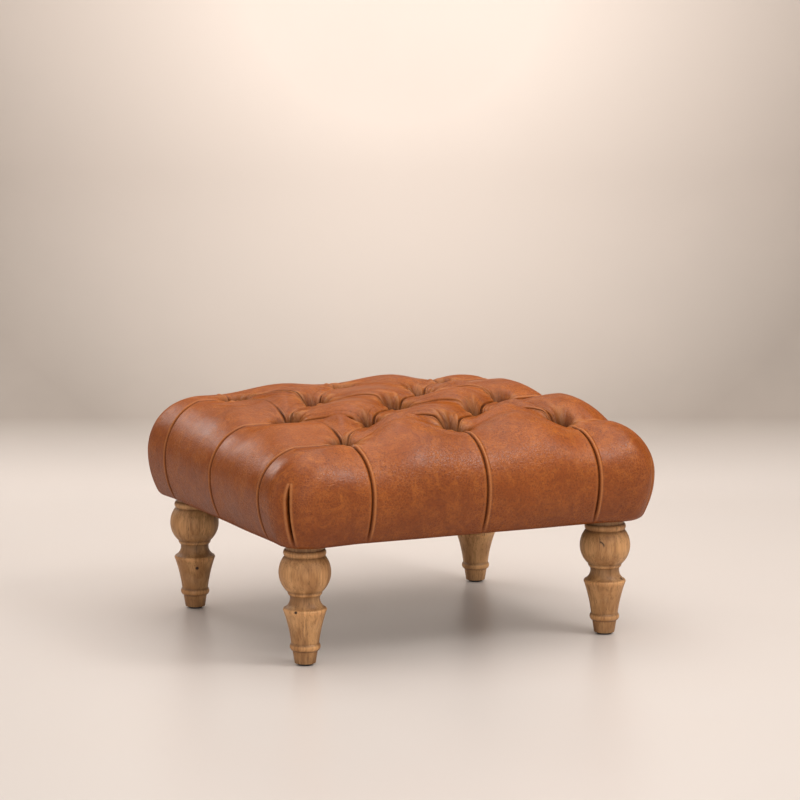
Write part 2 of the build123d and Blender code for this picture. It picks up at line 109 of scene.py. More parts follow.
# %% [markdown]
# ## How high the leather stands
#
# A button pulls hardest in the middle of the hide and least at a corner, where two sides give way to it.
# Between the buttons the stuffing lifts the leather, a little more at the back of this stool than at the
# front. These heights weren't measured: they were set against the photo, which shows the stool from one
# side, and so they are written down one by one. A shape is a pair of numbers: how far the top of a
# swell is moved towards its start, and how broad it is.


# %% Heights of the creases and puffs
tuft_heights = {(0, 0): 0.301, (2, 0): 0.310, (4, 0): 0.303, (1, 1): 0.308, (3, 1): 0.310,
                (0, 2): 0.307, (2, 2): 0.315, (4, 2): 0.316, (1, 3): 0.315, (3, 3): 0.317,
                (0, 4): 0.320, (2, 4): 0.326, (4, 4): 0.322}
row_crease_heights = {((0, 0), (2, 0)): 0.329, ((2, 0), (4, 0)): 0.328, ((4, 0), (4, 2)): 0.325,
                      ((4, 2), (4, 4)): 0.333, ((0, 4), (2, 4)): 0.331, ((2, 4), (4, 4)): 0.334,
                      ((0, 0), (0, 2)): 0.319, ((0, 2), (0, 4)): 0.327}
row_crease_shapes = {"front": (1.3, 1.0), "right": (0.65, 0.60), "back": (1.0, 0.5), "left": (1.0, 0.9)}
left_crease_lift = 0.020
right_crease_lift = 0.009
front_left_crease_lift = 0.012
diagonal_shape = (0.65, 0.60)
triangle_skews = {"front": 1.4, "right": 0.75, "back": 1.0, "left": 1.2}
crease_reach_power = 2.0
edge_crease_bow = 0.012
diamond_crowns = {"front": 0.333, "right": 0.340, "back": 0.337, "left": 0.334}
triangle_crowns = {"front": (0.333, 0.334), "right": (0.333, 0.339),
                   "back": (0.340, 0.337), "left": (0.334, 0.329)}
panel_crowns = {"front": (0.335, 0.335), "right": (0.341, 0.340),
                "back": (0.340, 0.336), "left": (0.325, 0.322)}
corner_rises = {"front": 0.011, "right": 0.006, "back": 0.001, "left": 0.006}
sides = ("front", "right", "back", "left")
print("the leather stands", round(max(panel_crowns["right"]) - base_height, 3), "above its underside")


# %% [markdown]
# ## The creases
#
# A crease runs from button to button. All puffs are hung between these lines, so the creases come first,
# and neighbouring puffs share exactly the same points. The points crowd together near the buttons, where
# the leather bends most. Even steps would need many more points for the same sharpness there.


# %% Stations along a grid's lines
def stations(length, fine, coarse, both_ends=True):
    """Places from zero to one, a fine step apart at the start, and at the end too if asked for."""
    growth = 1.14
    half = length / 2 if both_ends else length
    steps = []
    step = fine
    while sum(steps) < half:
        steps.append(step)
        step = min(step * growth, coarse)
    places = np.concatenate([[0], np.cumsum(steps)])
    places /= places[-1]
    if not both_ends:
        return places
    places = places / 2
    return np.concatenate([places, 1 - places[-2::-1]])


fine_step = 0.00075
coarse_step = 0.0034
crease_stations = stations(math.hypot(half_x, half_y), fine_step, coarse_step)
row_stations = stations(tuft_pitch_x, fine_step, coarse_step)
corner_stations = stations(0.130, fine_step, coarse_step)
print(len(crease_stations), "stations on a crease,", len(row_stations), "across a border puff")


# %% [markdown]
# ## Pulled down at the buttons
#
# A crease climbs as it leaves a button and bows a little, because the leather on its two sides is never
# pulled equally. Round each button the leather drops into a well. The wells could be cut in afterwards
# with a brush, but a rule on the distance to the nearest button makes all thirteen at once, and the puffs
# can share it.


# %% Creases between the buttons
well_edge = 0.031
well_foot = 0.0080
well_power = 2.2
bow_power = 2.4
diagonal_bow = 0.004


def in_well(height, x, y):
    """Height of the leather once the buttons are pulled down: steep walls round every button."""
    nearest = np.min([np.hypot(x - tx, y - ty) for tx, ty in tufts.values()], axis=0)
    climb = np.clip((nearest - well_foot) / (well_edge - well_foot), 0, 1)
    climb = 1 - (1 - climb) ** well_power
    return button_seat + (height - button_seat) * climb


def bell(share):
    """Smooth swell from zero at one end over one in the middle to zero at the other end."""
    return 0.5 - 0.5 * np.cos(2 * math.pi * share)


def swell(share, shape):
    """A bell whose top is moved towards the start by a skew below one, and widened by a power below one."""
    skew, power = shape
    return bell(share ** skew) ** power


def outer_side(first, last):
    """Name of the side along which two buttons are neighbours in an outer row, or nothing."""
    if first[1] == last[1] and first[1] % 4 == 0 and abs(first[0] - last[0]) == 2:
        return "front" if first[1] == 0 else "back"
    if first[0] == last[0] and first[0] % 4 == 0 and abs(first[1] - last[1]) == 2:
        return "left" if first[0] == 0 else "right"
    return None


def crease_height(first, last, places):
    """Height of a crease before the buttons are pulled down."""
    ends = tuft_heights[first] * (1 - places) + tuft_heights[last] * places
    side = outer_side(first, last)
    if side:
        lift = row_crease_heights[first, last] - (tuft_heights[first] + tuft_heights[last]) / 2
        return ends + lift * swell(places, row_crease_shapes[side])
    lift = right_crease_lift if last[0] > first[0] else left_crease_lift
    if first == (1, 1) and last == (0, 2):
        lift = front_left_crease_lift
    return ends + lift * swell(places, diagonal_shape)


def crease_line(first, last, bow, places):
    """Points of a crease from one button to another, bowed to its left in plan, with its wells filled in."""
    ends = np.array([tufts[first], tufts[last]])
    chord = ends[1] - ends[0]
    normal = np.array([-chord[1], chord[0]]) / np.linalg.norm(chord)
    arch = 1 - np.abs(2 * places - 1) ** bow_power
    plan = ends[0] + places[:, None] * chord + (bow * arch)[:, None] * normal
    plan[0], plan[-1] = ends
    return np.column_stack([plan, crease_height(first, last, places)])


smooth_creases = {}
inward_bow = {"front": 1, "right": 1, "back": -1, "left": -1}
draw = np.random.default_rng(7)
for first in tufts:
    for last in tufts:
        step = (last[0] - first[0], last[1] - first[1])
        if abs(step[0]) == 1 and step[1] == 1:
            line = crease_line(first, last, draw.uniform(-diagonal_bow, diagonal_bow), crease_stations)
        elif outer_side(first, last) and sum(step) > 0:
            bow = edge_crease_bow * inward_bow[outer_side(first, last)]
            line = crease_line(first, last, bow, row_stations)
        else:
            continue
        smooth_creases[first, last] = line
        smooth_creases[last, first] = line[::-1]
creases = {pair: np.column_stack([line[:, :2], in_well(line[:, 2], *line[:, :2].T)])
           for pair, line in smooth_creases.items()}
print(len(creases) // 2, "creases between the buttons")


# %% [markdown]
# ## Puffs hung between creases
#
# A puff is a sheet hung on its creases and blown up from below. Each one starts as a smooth blend of its
# own edges, and is then lifted until its middle reaches its height. It rises steeply beside the creases
# and is nearly flat on top, as leather over wadding does.


# %% Sheets hung on their edges
def hung(left, right, low, high, s, t):
    """A sheet between four edges: left and right run along s, low and high run along t."""
    rise = [edge[:, 2] - (edge[0, 2] * (1 - share) + edge[-1, 2] * share)
            for edge, share in ((left, s), (right, s), (low, t), (high, t))]
    s, t = s[:, None, None], t[None, :, None]
    sheet = left[:, None] * (1 - t) + right[:, None] * t + low[None] * (1 - s) + high[None] * s
    corners = (1 - s) * ((1 - t) * left[0] + t * right[0]) + s * ((1 - t) * left[-1] + t * right[-1])
    sheet = sheet - corners
    s, t = s[..., 0], t[..., 0]
    sheet[..., 2] = corners[..., 2] + rise[0][:, None] * (1 - t) ** crease_reach_power
    sheet[..., 2] += rise[1][:, None] * t**crease_reach_power + rise[2][None] * (1 - s) ** crease_reach_power
    sheet[..., 2] += rise[3][None] * s**crease_reach_power
    return sheet


def crease(first, last):
    """A crease with its wells filled in, so that a puff hung on it stays smooth at the buttons."""
    return smooth_creases[first, last].copy()


def settle(sheet, edges):
    """The sheet pulled down at the buttons, with its edges exactly on the creases, in the stool's axes."""
    sheet[..., 2] = in_well(sheet[..., 2], sheet[..., 0], sheet[..., 1])
    for place, line in edges:
        sheet[place] = line
    sheet[..., :2] = turned(sheet[..., :2])
    return sheet


def diamond_patch(i, j, crown):
    """Grid of the diamond round step i, j of the buttoning."""
    south, east, north, west = (i, j - 1), (i + 1, j), (i, j + 1), (i - 1, j)
    s = t = crease_stations
    sheet = hung(crease(south, east), crease(west, north), crease(south, west), crease(east, north), s, t)
    middle = sheet[len(s) // 2, len(t) // 2, 2]
    bulge = swell(s, diagonal_shape)[:, None] * swell(t, diagonal_shape)[None, :]
    sheet[..., 2] += (crown - middle) * bulge / bulge[len(s) // 2, len(t) // 2]
    edges = [(np.s_[:, 0], creases[south, east]), (np.s_[:, -1], creases[west, north]),
             (np.s_[0], creases[south, west]), (np.s_[-1], creases[east, north])]
    return settle(sheet, edges)


def triangle_patch(inner, left, right, crown, skew):
    """Grid of the puff between an inner button and two outer ones, its rows running outwards."""
    s, t = crease_stations, row_stations
    pole = np.repeat(crease(inner, left)[:1], len(t), axis=0)
    sheet = hung(crease(inner, left), crease(inner, right), pole, crease(left, right), s, t)
    bulge = bell(0.4 * s + 0.6 * s**2)[:, None] * bell(t**skew)[None, :]
    middle = np.unravel_index(np.argmax(bulge), bulge.shape)
    sheet[..., 2] += (crown - sheet[..., 2][middle]) * bulge / bulge[middle]
    well = np.repeat(creases[inner, left][:1], len(t), axis=0)
    edges = [(np.s_[:, 0], creases[inner, left]), (np.s_[:, -1], creases[inner, right]),
             (np.s_[-1], creases[left, right]), (np.s_[0], well)]
    return settle(sheet, edges)


# %% [markdown]
# ## Over the edge and down the side
#
# From the outer creases the leather runs over the shoulder, down the side and under the frame. First it
# has to be known how far out the seat reaches in any direction. Its outline is a rectangle with round
# corners, and the buttoning lies askew in it, so halving a range until it meets the outline is the
# simplest way.


# %% How far out the seat reaches
def edge_reach(start, direction):
    """Distance from plan points to the seat's widest outline, a rounded rectangle, along unit directions."""
    start, direction = turned(start), turned(direction)
    near = np.zeros(start.shape[:-1])
    far = np.full(start.shape[:-1], seat_width + seat_depth)
    for _ in range(40):
        middle = (near + far) / 2
        point = np.abs(start + direction * middle[..., None])
        x = point[..., 0] - (seat_width / 2 - seat_corner_radius)
        y = point[..., 1] - (seat_depth / 2 - seat_corner_radius)
        outside = np.hypot(np.maximum(x, 0), np.maximum(y, 0)) + np.minimum(np.maximum(x, y), 0)
        far = np.where(outside > seat_corner_radius, middle, far)
        near = np.where(outside > seat_corner_radius, near, middle)
    return near


print("the seat reaches", round(float(edge_reach(np.zeros(2), np.array([1.0, 0.0]))), 4), "from its middle")


# %% [markdown]
# ## Columns over the edge
#
# Each column of the grid is one journey of the leather: a round shoulder, a long shallow side, a roll at
# the bottom, and the hem that is stapled under the rails. Sweeping one fixed profile round the seat would
# be quicker, but every journey here has its own height and width, so each is worked out by itself.


# %% Columns over the edge
pleat_inset = 0.0012
pleat_rise = 0.002
shoulder_width = 0.071
panel_shoulder_width = 0.099
shoulder_angle = math.radians(12)
least_flat = 0.004
top_rows = stations(0.030, fine_step, 0.0026, both_ends=False)
shoulder_rows = np.linspace(shoulder_angle, math.pi / 2, 36)[1:]
side_rows = np.linspace(0, 1, 17)[1:]
roll_rows = np.linspace(0, 1, 9)[1:]
hem_rows = np.linspace(0, 1, 9)[1:]


def column(origin, direction, crown, width, inset):
    """Points from a crease to the bottom roll, as a distance outwards and a height.

    The origin is a crease point; the shoulder is a quarter of an ellipse with the given width.
    """
    reach = float(edge_reach(origin[:2], direction)) - inset
    width = min(width, reach - least_flat)
    height = crown - waist_height
    centre = reach - width
    bend = centre + width * math.sin(shoulder_angle)
    bend_height = waist_height + height * math.cos(shoulder_angle)
    u = top_rows
    climb = 1 - (1 - u) ** 3
    z = origin[2] + (bend_height - origin[2]) * climb
    distance = [bend * u, centre + width * np.sin(shoulder_rows)]
    z_list = [z, waist_height + height * np.cos(shoulder_rows)]
    drop = waist_height - base_height - edge_roll_radius
    lean = math.asin(drop / (side_curve_radius - edge_roll_radius))
    turn = lean * side_rows
    distance.append(reach - side_curve_radius * (1 - np.cos(turn)))
    z_list.append(waist_height - side_curve_radius * np.sin(turn))
    roll_x = reach - (side_curve_radius - edge_roll_radius) * (1 - math.cos(lean)) - edge_roll_radius
    roll_turn = lean + (math.pi / 2 - lean) * roll_rows
    distance.append(roll_x + edge_roll_radius * np.cos(roll_turn))
    z_list.append(base_height + edge_roll_radius * (1 - np.sin(roll_turn)))
    return np.concatenate(distance), np.concatenate(z_list)


def hem_points(outer):
    """The hem under the frame, from points of the bottom roll to its cut edge, trimmed round the legs."""
    limit = np.array([seat_width, seat_depth]) / 2 - frame_inset - hem_width
    edge = np.clip(outer[:, :2], -limit, limit)
    leg = np.sign(edge) * (leg_x, leg_y)
    away = outer[:, :2] - leg
    span = np.linalg.norm(away, axis=1, keepdims=True)
    rim = leg + away / span * leg_hole_radius
    inside = np.linalg.norm(edge - leg, axis=1, keepdims=True) < leg_hole_radius
    edge = np.where(inside, rim, edge)
    flat = outer[:, :2] + hem_rows[:, None, None] * (edge - outer[:, :2])
    level = np.full((*flat.shape[:2], 1), base_height)
    return np.concatenate([flat, level], axis=2)


def outer_rows(origins, directions, crowns, widths, insets):
    """Rows of a patch from its creases to the hem, in the stool's axes."""
    columns = []
    for origin, direction, crown, width, inset in zip(origins, directions, crowns, widths, insets):
        distance, height = column(origin, direction, crown, width, inset)
        plan = origin[:2] + distance[:, None] * direction
        count = len(top_rows)
        height[:count] = in_well(height[:count], *plan[:count].T)
        columns.append(np.column_stack([turned(plan), height]))
    rows = np.stack(columns, axis=1)
    return np.concatenate([rows, hem_points(rows[-1])])


print(len(top_rows) + len(shoulder_rows) + len(side_rows) + len(roll_rows),
      "points down a column to its hem")


# %% [markdown]
# ## Side puffs and corners
#
# Between two pleats the side is one broad puff. At a corner the leather sweeps round its last button like
# a fan, and its middle column is where the real cover is slit and folded under. The columns at the pleats
# are shared by the two puffs beside them, so no seam opens there.


# %% Panels and corners
corner_shoulder_gain = 0.012


def side_frame(k):
    """Outward and along directions of a side, and the steps of its three outer buttons, along that side."""
    outward = np.array([(0, -1), (1, 0), (0, 1), (-1, 0)][k % 4], float)
    along = np.array([-outward[1], outward[0]])
    steps = [[(0, 0), (2, 0), (4, 0)], [(4, 0), (4, 2), (4, 4)],
             [(4, 4), (2, 4), (0, 4)], [(0, 4), (0, 2), (0, 0)]]
    return outward, along, steps[k % 4]


def panel_patch(k, left, right, crown):
    """Grid of the side puff between two pleats, its rows running outwards."""
    outward, _, _ = side_frame(k)
    share = row_stations
    origins = crease(left, right)
    round_share = swell(share, row_crease_shapes["right"]) if k == 1 else bell(share)
    base = tuft_heights[left] * (1 - share) + tuft_heights[right] * share
    crowns = base + pleat_rise + (crown - base - pleat_rise) * round_share
    widths = shoulder_width + (panel_shoulder_width - shoulder_width) * round_share
    insets = pleat_inset * (1 - bell(share))
    return outer_rows(origins, [outward] * len(share), crowns, widths, insets)


def slit_share(k):
    """Where in the sweep of the corner after side k its middle lies, from zero to one."""
    outward, along, steps = side_frame(k)
    signs = outward + along
    half_size = np.array([seat_width, seat_depth]) / 2
    corner = signs * (half_size - seat_corner_radius * (1 - math.sqrt(0.5)))
    aim = turned(corner - turned(tufts[steps[2]]), -tuft_turn)
    return math.atan2(aim @ along, aim @ outward) / (math.pi / 2)


def corner_patch(k):
    """Grid of the corner after side k, swept round its button."""
    outward, along, steps = side_frame(k)
    tuft = steps[2]
    middle = slit_share(k)
    share = np.concatenate([corner_stations * middle, middle + corner_stations[1:] * (1 - middle)])
    angles = share * math.pi / 2
    directions = [math.cos(a) * outward + math.sin(a) * along for a in angles]
    origin = np.array([*tufts[tuft], tuft_heights[tuft]])
    round_share = bell(share)
    low = tuft_heights[tuft] + pleat_rise
    crowns = low + (corner_rises[sides[k]] - pleat_rise) * round_share
    widths = shoulder_width + corner_shoulder_gain * round_share
    insets = pleat_inset * (1 - bell(share))
    return outer_rows([origin] * len(share), directions, crowns, widths, insets)


print("slits lie at", [round(slit_share(k), 3) for k in range(4)], "of the corners' sweeps")


# %% [markdown]
# ## All patches
#
# The hide is twenty-four patches: four diamonds in the middle, eight triangles round them, eight side
# puffs and four corners. Where two patches meet, one takes over the other's edge, so that they can be
# welded.


# %% Make the patches
patches = {}
for k, name in enumerate(sides):
    outward, _, steps = side_frame(k)
    for hand in (0, 1):
        left, right = steps[hand], steps[hand + 1]
        middle = ((left[0] + right[0]) / 2, (left[1] + right[1]) / 2)
        inner = (int(middle[0] - outward[0]), int(middle[1] - outward[1]))
        patches["triangle", k, hand] = triangle_patch(inner, left, right, triangle_crowns[name][hand],
                                                      triangle_skews[name])
        patches["panel", k, hand] = panel_patch(k, left, right, panel_crowns[name][hand])
        patches["panel", k, hand][0] = patches["triangle", k, hand][-1]
    patches["corner", k] = corner_patch(k)
for k in range(4):
    before, after, corner = patches["panel", k, 1], patches["panel", (k + 1) % 4, 0], patches["corner", k]
    corner[:, 0], corner[:, -1] = before[:, -1], after[:, 0]
    corner[0] = corner[0, 0]
    patches["panel", k, 1][:, 0] = patches["panel", k, 0][:, -1]
for (i, j), name in zip(((2, 1), (3, 2), (2, 3), (1, 2)), sides):
    patches["diamond", name] = diamond_patch(i, j, diamond_crowns[name])
print(sum(p.shape[0] * p.shape[1] for p in patches.values()), "grid points in", len(patches), "patches")


# %% [markdown]
# ## One skin
#
# Points that lie on the same spot become one vertex, so the hide is a single skin and shades smoothly
# across the patches. Blender's own merge by distance could do it, but then the patches' rows would be
# lost, and the pleats are found by those rows.


# %% Weld the patches into one mesh
def weld(grids):
    """One vertex for each place that the grids share, and for each grid the numbers of its vertices."""
    points = np.concatenate([grid.reshape(-1, 3) for grid in grids])
    spots = np.round(points * 1e7).astype(np.int64)
    _, first, number = np.unique(spots, axis=0, return_index=True, return_inverse=True)
    number = number.reshape(-1)
    ids, start = [], 0
    for grid in grids:
        count = grid.shape[0] * grid.shape[1]
        ids.append(number[start:start + count].reshape(grid.shape[:2]))
        start += count
    return points[first], ids


def quads(ids):
    """Faces of a grid of vertex numbers, with triangles where a row has shrunk to one point."""
    a, b = ids[:-1, :-1].ravel(), ids[1:, :-1].ravel()
    c, d = ids[1:, 1:].ravel(), ids[:-1, 1:].ravel()
    faces = []
    for corners in zip(a.tolist(), b.tolist(), c.tolist(), d.tolist()):
        face = [v for n, v in enumerate(corners) if v != corners[n - 1]]
        if len(set(face)) > 2:
            faces.append(face)
    return faces


points, ids = weld(list(patches.values()))
faces = [face for grid in ids for face in quads(grid)]
print(len(points), "points,", len(faces), "faces")


# %% [markdown]
# ## A mesh and its normals
#
# The folds will move the skin along its normals, so these are worked out here, before there is any object.
# A normal is the mean of the faces round a point.


# %% A mesh and its normals
def add_mesh(name, points, faces):
    """A mesh object in the scene from points and faces."""
    mesh = bpy.data.meshes.new(name)
    mesh.from_pydata([tuple(p) for p in points], [], faces)
    mesh.update()
    mesh.polygons.foreach_set("use_smooth", [True] * len(mesh.polygons))
    piece = bpy.data.objects.new(name, mesh)
    bpy.context.scene.collection.objects.link(piece)
    return piece


def vertex_normals(points, faces):
    """Outward unit normals of the points, as the mean of the faces round them."""
    total = np.zeros_like(points)
    for count in (3, 4):
        corners = np.array([face for face in faces if len(face) == count])
        one, two = points[corners[:, 0]], points[corners[:, 2]]
        diagonal = points[corners[:, -1]] if count == 4 else two
        flat = np.cross(two - one, diagonal - points[corners[:, 1]])
        for place in range(count):
            np.add.at(total, corners[:, place], flat)
    return total / np.maximum(np.linalg.norm(total, axis=1, keepdims=True), 1e-12)


normals = vertex_normals(points, faces)
print("normals point up on", round(float((normals[:, 2] > 0).mean()), 2), "of the hide")


# %% [markdown]
# ## Grooves, lips and wrinkles
#
# So far the hide is smooth. A real one is folded at every crease and pleat: one side is tucked under, the
# other side lies on top with a rounded lip. Round the buttons the spare leather has nowhere to go, so it
# gathers in small ridges that point at the button. All of this is a small move of each point along its
# normal, worked out from the distance to the nearest crease, pleat or button. The same distances are kept
# as attributes, because the colour follows them too: the folds get painted shade, and the lips are painted
# pale, partly as rubbed wear and partly as painted highlight.


# %% Distances to the folds
def dense(line, step=0.0005):
    """Points of a line at even small steps."""
    along = np.concatenate([[0], np.cumsum(np.linalg.norm(np.diff(line, axis=0), axis=1))])
    places = np.linspace(0, along[-1], int(along[-1] / step) + 2)
    return np.column_stack([np.interp(places, along, line[:, axis]) for axis in range(3)])


def nearest_fold(lines, sideways, points):
    """Distance of each point to the nearest line, positive on the side that the line's direction names."""
    spots = [dense(line) for line in lines]
    number = np.repeat(np.arange(len(spots)), [len(part) for part in spots])
    spots = np.concatenate(spots)
    tree = KDTree(len(spots))
    for place, spot in enumerate(spots.tolist()):
        tree.insert(spot, place)
    tree.balance()
    found = np.array([tree.find(point)[1] for point in points.tolist()])
    away = points - spots[found]
    side = np.einsum("ij,ij->i", away[:, :2], np.asarray(sideways)[number[found]])
    return np.linalg.norm(away, axis=1) * np.where(side < 0, -1, 1)


crease_lines, crease_sides = [], []
for (first, last), line in creases.items():
    if first < last and outer_side(first, last) != "front":
        chord = line[-1, :2] - line[0, :2]
        crease_lines.append(np.column_stack([turned(line[:, :2]), line[:, 2]]))
        crease_sides.append(turned(np.array([chord[1], -chord[0]]) / np.linalg.norm(chord)))
pleat_lines, pleat_sides = [], []
for k in range(4):
    near_panel, far_panel = patches["panel", k, 0], patches["panel", k, 1]
    for grid, edge in ((near_panel, 0), (near_panel, -1), (far_panel, -1)):
        pleat_lines.append(grid[:-len(hem_rows), edge])
        pleat_sides.append(turned(side_frame(k)[1]) * (-1 if sides[k] == "left" else 1))
crease_gap = nearest_fold(crease_lines, crease_sides, points)
pleat_gap = nearest_fold(pleat_lines, pleat_sides, points)
tuft_spots = turned(np.array(list(tufts.values())))
tuft_gaps = np.hypot(*(points[:, None, :2] - tuft_spots).transpose(2, 0, 1))
tuft_gap = tuft_gaps.min(axis=1)
print(len(crease_lines), "creases and", len(pleat_lines), "pleats")


# %% [markdown]
# ## Pleats and creases
#
# A pleat is tucked under on one side and has a round lip on the other. A crease is a shallow valley,
# sharper near a button. Cutting either as real overlapping leather would need a second sheet. A hill or a
# valley over the distance is enough at the size of a fold, and never cuts through itself.


# %% Folds as small moves of the surface
def hill(distance, middle, width):
    """Smooth hill of height one at a distance, falling off over a width."""
    return np.exp(-(((distance - middle) / width) ** 2))


groove_depth = 0.0024
under_width = 0.0019
lip_groove_width = 0.0010
lip_height = 0.0012
lip_place = 0.0036
lip_width = 0.0020
seam_place = 0.0072
seam_dent = 0.0004
seam_width = 0.0010
crease_depth = 0.0024
crease_width = 0.0016
crease_lip = 0.0014
crease_reach = 0.030
crease_lip_place = 0.0032
crease_lip_width = 0.0017
far_lip_share = 0.35
ripple_height = 0.0004
ripple_length = 0.0062
ripple_reach = 0.010
pleat_start = 0.010
crease_start = 0.006


def pleat_shift(gap):
    """Move at a signed distance from a pleat: tucked under on one side, a rounded lip on the other."""
    under = -groove_depth * hill(gap, 0, under_width)
    over = -groove_depth * hill(gap, 0, lip_groove_width) + lip_height * hill(gap, lip_place, lip_width)
    over -= seam_dent * hill(gap, seam_place, seam_width)
    return np.where(gap < 0, under, over)


def crease_shift(gap, near):
    """Move beside a crease, strongest near a button, where the value near is one."""
    strength = 0.35 + 0.65 * near
    groove = -crease_depth * hill(gap, 0, crease_width) * strength
    lip = crease_lip * hill(np.abs(gap), crease_lip_place, crease_lip_width)
    lip = lip * np.where(gap > 0, 1, far_lip_share)
    second = ripple_height * np.cos(gap * 2 * math.pi / ripple_length) * hill(gap, 0, ripple_reach)
    return groove + (lip + second) * near


near_button = hill(tuft_gap, well_edge, crease_reach)
shift = pleat_shift(pleat_gap) * np.clip((tuft_gap - well_foot) / pleat_start, 0, 1)
shift += crease_shift(crease_gap, near_button) * np.clip((tuft_gap - well_foot) / crease_start, 0, 1)
fold_range = [round(float(value) * 1000, 1) for value in (shift.min(), shift.max())]
print("folds move the hide by", *fold_range, "mm")


# %% [markdown]
# ## Gathers round the buttons
#
# Where the hide is pulled into a well there is too much of it, so it gathers in small ridges that point at
# the button. Each ridge gets its own direction, length, width and bend from a fixed seed: even spokes
# would look like a machine part, and an unseeded draw would give another stool each time.


# %% Ridges round the buttons
ridge_count = 15
ridge_lengths = (0.016, 0.040)
ridge_widths = (0.0011, 0.0021)
ridge_heights = (0.0014, 0.0031)
ridge_bend = 12
ridge_spread = 0.030
ridge_start = 0.005
ridge_end_share = 0.6
draw = np.random.default_rng(21)
ridges = np.zeros(len(points))
for number, spot in enumerate(tuft_spots):
    away = points[:, :2] - spot
    gap = tuft_gaps[:, number]
    angle = np.arctan2(away[:, 1], away[:, 0])
    for _ in range(ridge_count):
        aim = draw.uniform(-math.pi, math.pi)
        length = draw.uniform(*ridge_lengths)
        width = draw.uniform(*ridge_widths)
        height = draw.uniform(*ridge_heights)
        bend = draw.uniform(-ridge_bend, ridge_bend)
        turn = (angle - aim - bend * (gap - well_foot) + math.pi) % (2 * math.pi) - math.pi
        across = turn * gap / (width * (1 + gap / ridge_spread))
        start = np.clip((gap - well_foot) / ridge_start, 0, 1)
        window = start * np.clip((well_foot + length - gap) / (length * ridge_end_share), 0, 1)
        ridges += height * np.exp(-(across**2)) * window
shift += ridges
print("ridges up to", round(float(ridges.max()) * 1000, 1), "mm high")


# %% [markdown]
# ## Stuffing is never even
#
# Hand-laid stuffing leaves slow swells under the leather, less than a millimetre high. A few waves in
# random directions, added up, give them. They fade out beside the folds, which would otherwise wander.


# %% Soft unevenness of the stuffing
lump_waves = 26
lump_rates = (50, 120)
lump_height = 0.0006
lump_margin = 0.020
hem_margin = 0.020
lumps = np.zeros(len(points))
for _ in range(lump_waves):
    wave = draw.normal(size=3)
    wave *= draw.uniform(*lump_rates) / np.linalg.norm(wave)
    lumps += np.sin(points @ wave + draw.uniform(0, 2 * math.pi))
lumps /= np.abs(lumps).max()
free = np.clip(np.minimum(np.abs(crease_gap), np.abs(pleat_gap)) / lump_margin, 0, 1)
on_hide = np.clip((points[:, 2] - base_height) / hem_margin, 0, 1)
shift += lump_height * lumps * free
print("the stuffing is uneven by", lump_height * 1000, "mm at most")


# %% [markdown]
# ## Slits at the corners
#
# At each corner the spare leather is folded under and meets in a slit that opens towards the bottom. A
# Boolean would cut it clean through and leave raw edges. A deep narrow groove with a rolled rim keeps the
# hide closed and looks like two turned edges that nearly touch.


# %% Slits at the four corners
slit_top = 0.262
slit_low = 0.168
slit_half_width = 0.0026
slit_depth = 0.0075
slit_edge = 0.0010
slit_reach = 0.006
slit_line_overrun = 0.02
slit_line_start = 0.001
rim_place = 0.0024
rim_width = 0.0018
rim_height = 0.0006
rim_overrun = 0.002
corner_sink = 0.0016
corner_sink_width = 0.010
slit = np.zeros(len(points))
slit_rim = np.zeros(len(points))
slit_near = np.zeros(len(points))
for k in range(4):
    line = dense(patches["corner", k][:-len(hem_rows), len(corner_stations) - 1])
    line = line[(line[:, 2] < slit_top + slit_line_overrun) & (line[:, 2] > base_height + slit_line_start)]
    along = turned(side_frame(k)[1] - side_frame(k)[0])
    gap = nearest_fold([line], [along], points)
    share = np.clip((slit_top - points[:, 2]) / (slit_top - slit_low), 0, 1)
    half = slit_half_width * np.clip(share * 5, 0, 1) ** 0.6 * (1 - 0.25 * share)
    slit = np.maximum(slit, np.clip((half - np.abs(gap)) / slit_edge, 0, 1) * (share > 0))
    rim = hill(np.abs(gap), half + rim_place, rim_width) * (points[:, 2] < slit_top + rim_overrun)
    slit_rim = np.maximum(slit_rim, rim)
    slit_near = np.maximum(slit_near, hill(gap, 0, slit_reach) * (share > 0))
    shift -= corner_sink * hill(gap, 0, corner_sink_width) * np.clip(share * 4, 0, 1)
shift += (-slit_depth * slit + rim_height * slit_rim) * on_hide
print("points inside the corner slits:", int((slit > 0.5).sum()))


# %% [markdown]
# ## The hide, and what its colours follow
#
# Now every point moves by the sum of its folds. The same distances are kept on the mesh as attributes,
# because the colour follows the folds: painted shade darkens the folds, the wells and the slits, and the
# lips, ridges and slit rims are painted pale, partly as rubbed wear and partly as painted highlight.
# Painting this by hand in a picture would need an image file, and would slip as soon as a crease moved.


# %% The hide itself
wrinkle_reach = 0.050
wrinkle_fade = 0.012
pleat_line_place = 0.0001
pleat_line_width = 0.0010
crease_line_width = 0.0013
well_shade_edge = 0.030
well_shade_span = 0.018
lip_pale_width = 0.0016
far_lip_place = 0.0040
crease_pale_place = 0.0030
crease_pale_width = 0.0013
ridge_highlight_height = 0.0016
gather_width = 0.013
points_smooth = points
points = points + normals * (shift * on_hide)[:, None]
points[:, 2] = np.maximum(points[:, 2], base_height)
cover = add_mesh("seat_cover", points, faces)


def keep(piece, name, values):
    """Store one number for each vertex, for the colours to follow."""
    kept = piece.data.attributes.new(name, "FLOAT", "POINT")
    kept.data.foreach_set("value", np.asarray(values, np.float32))


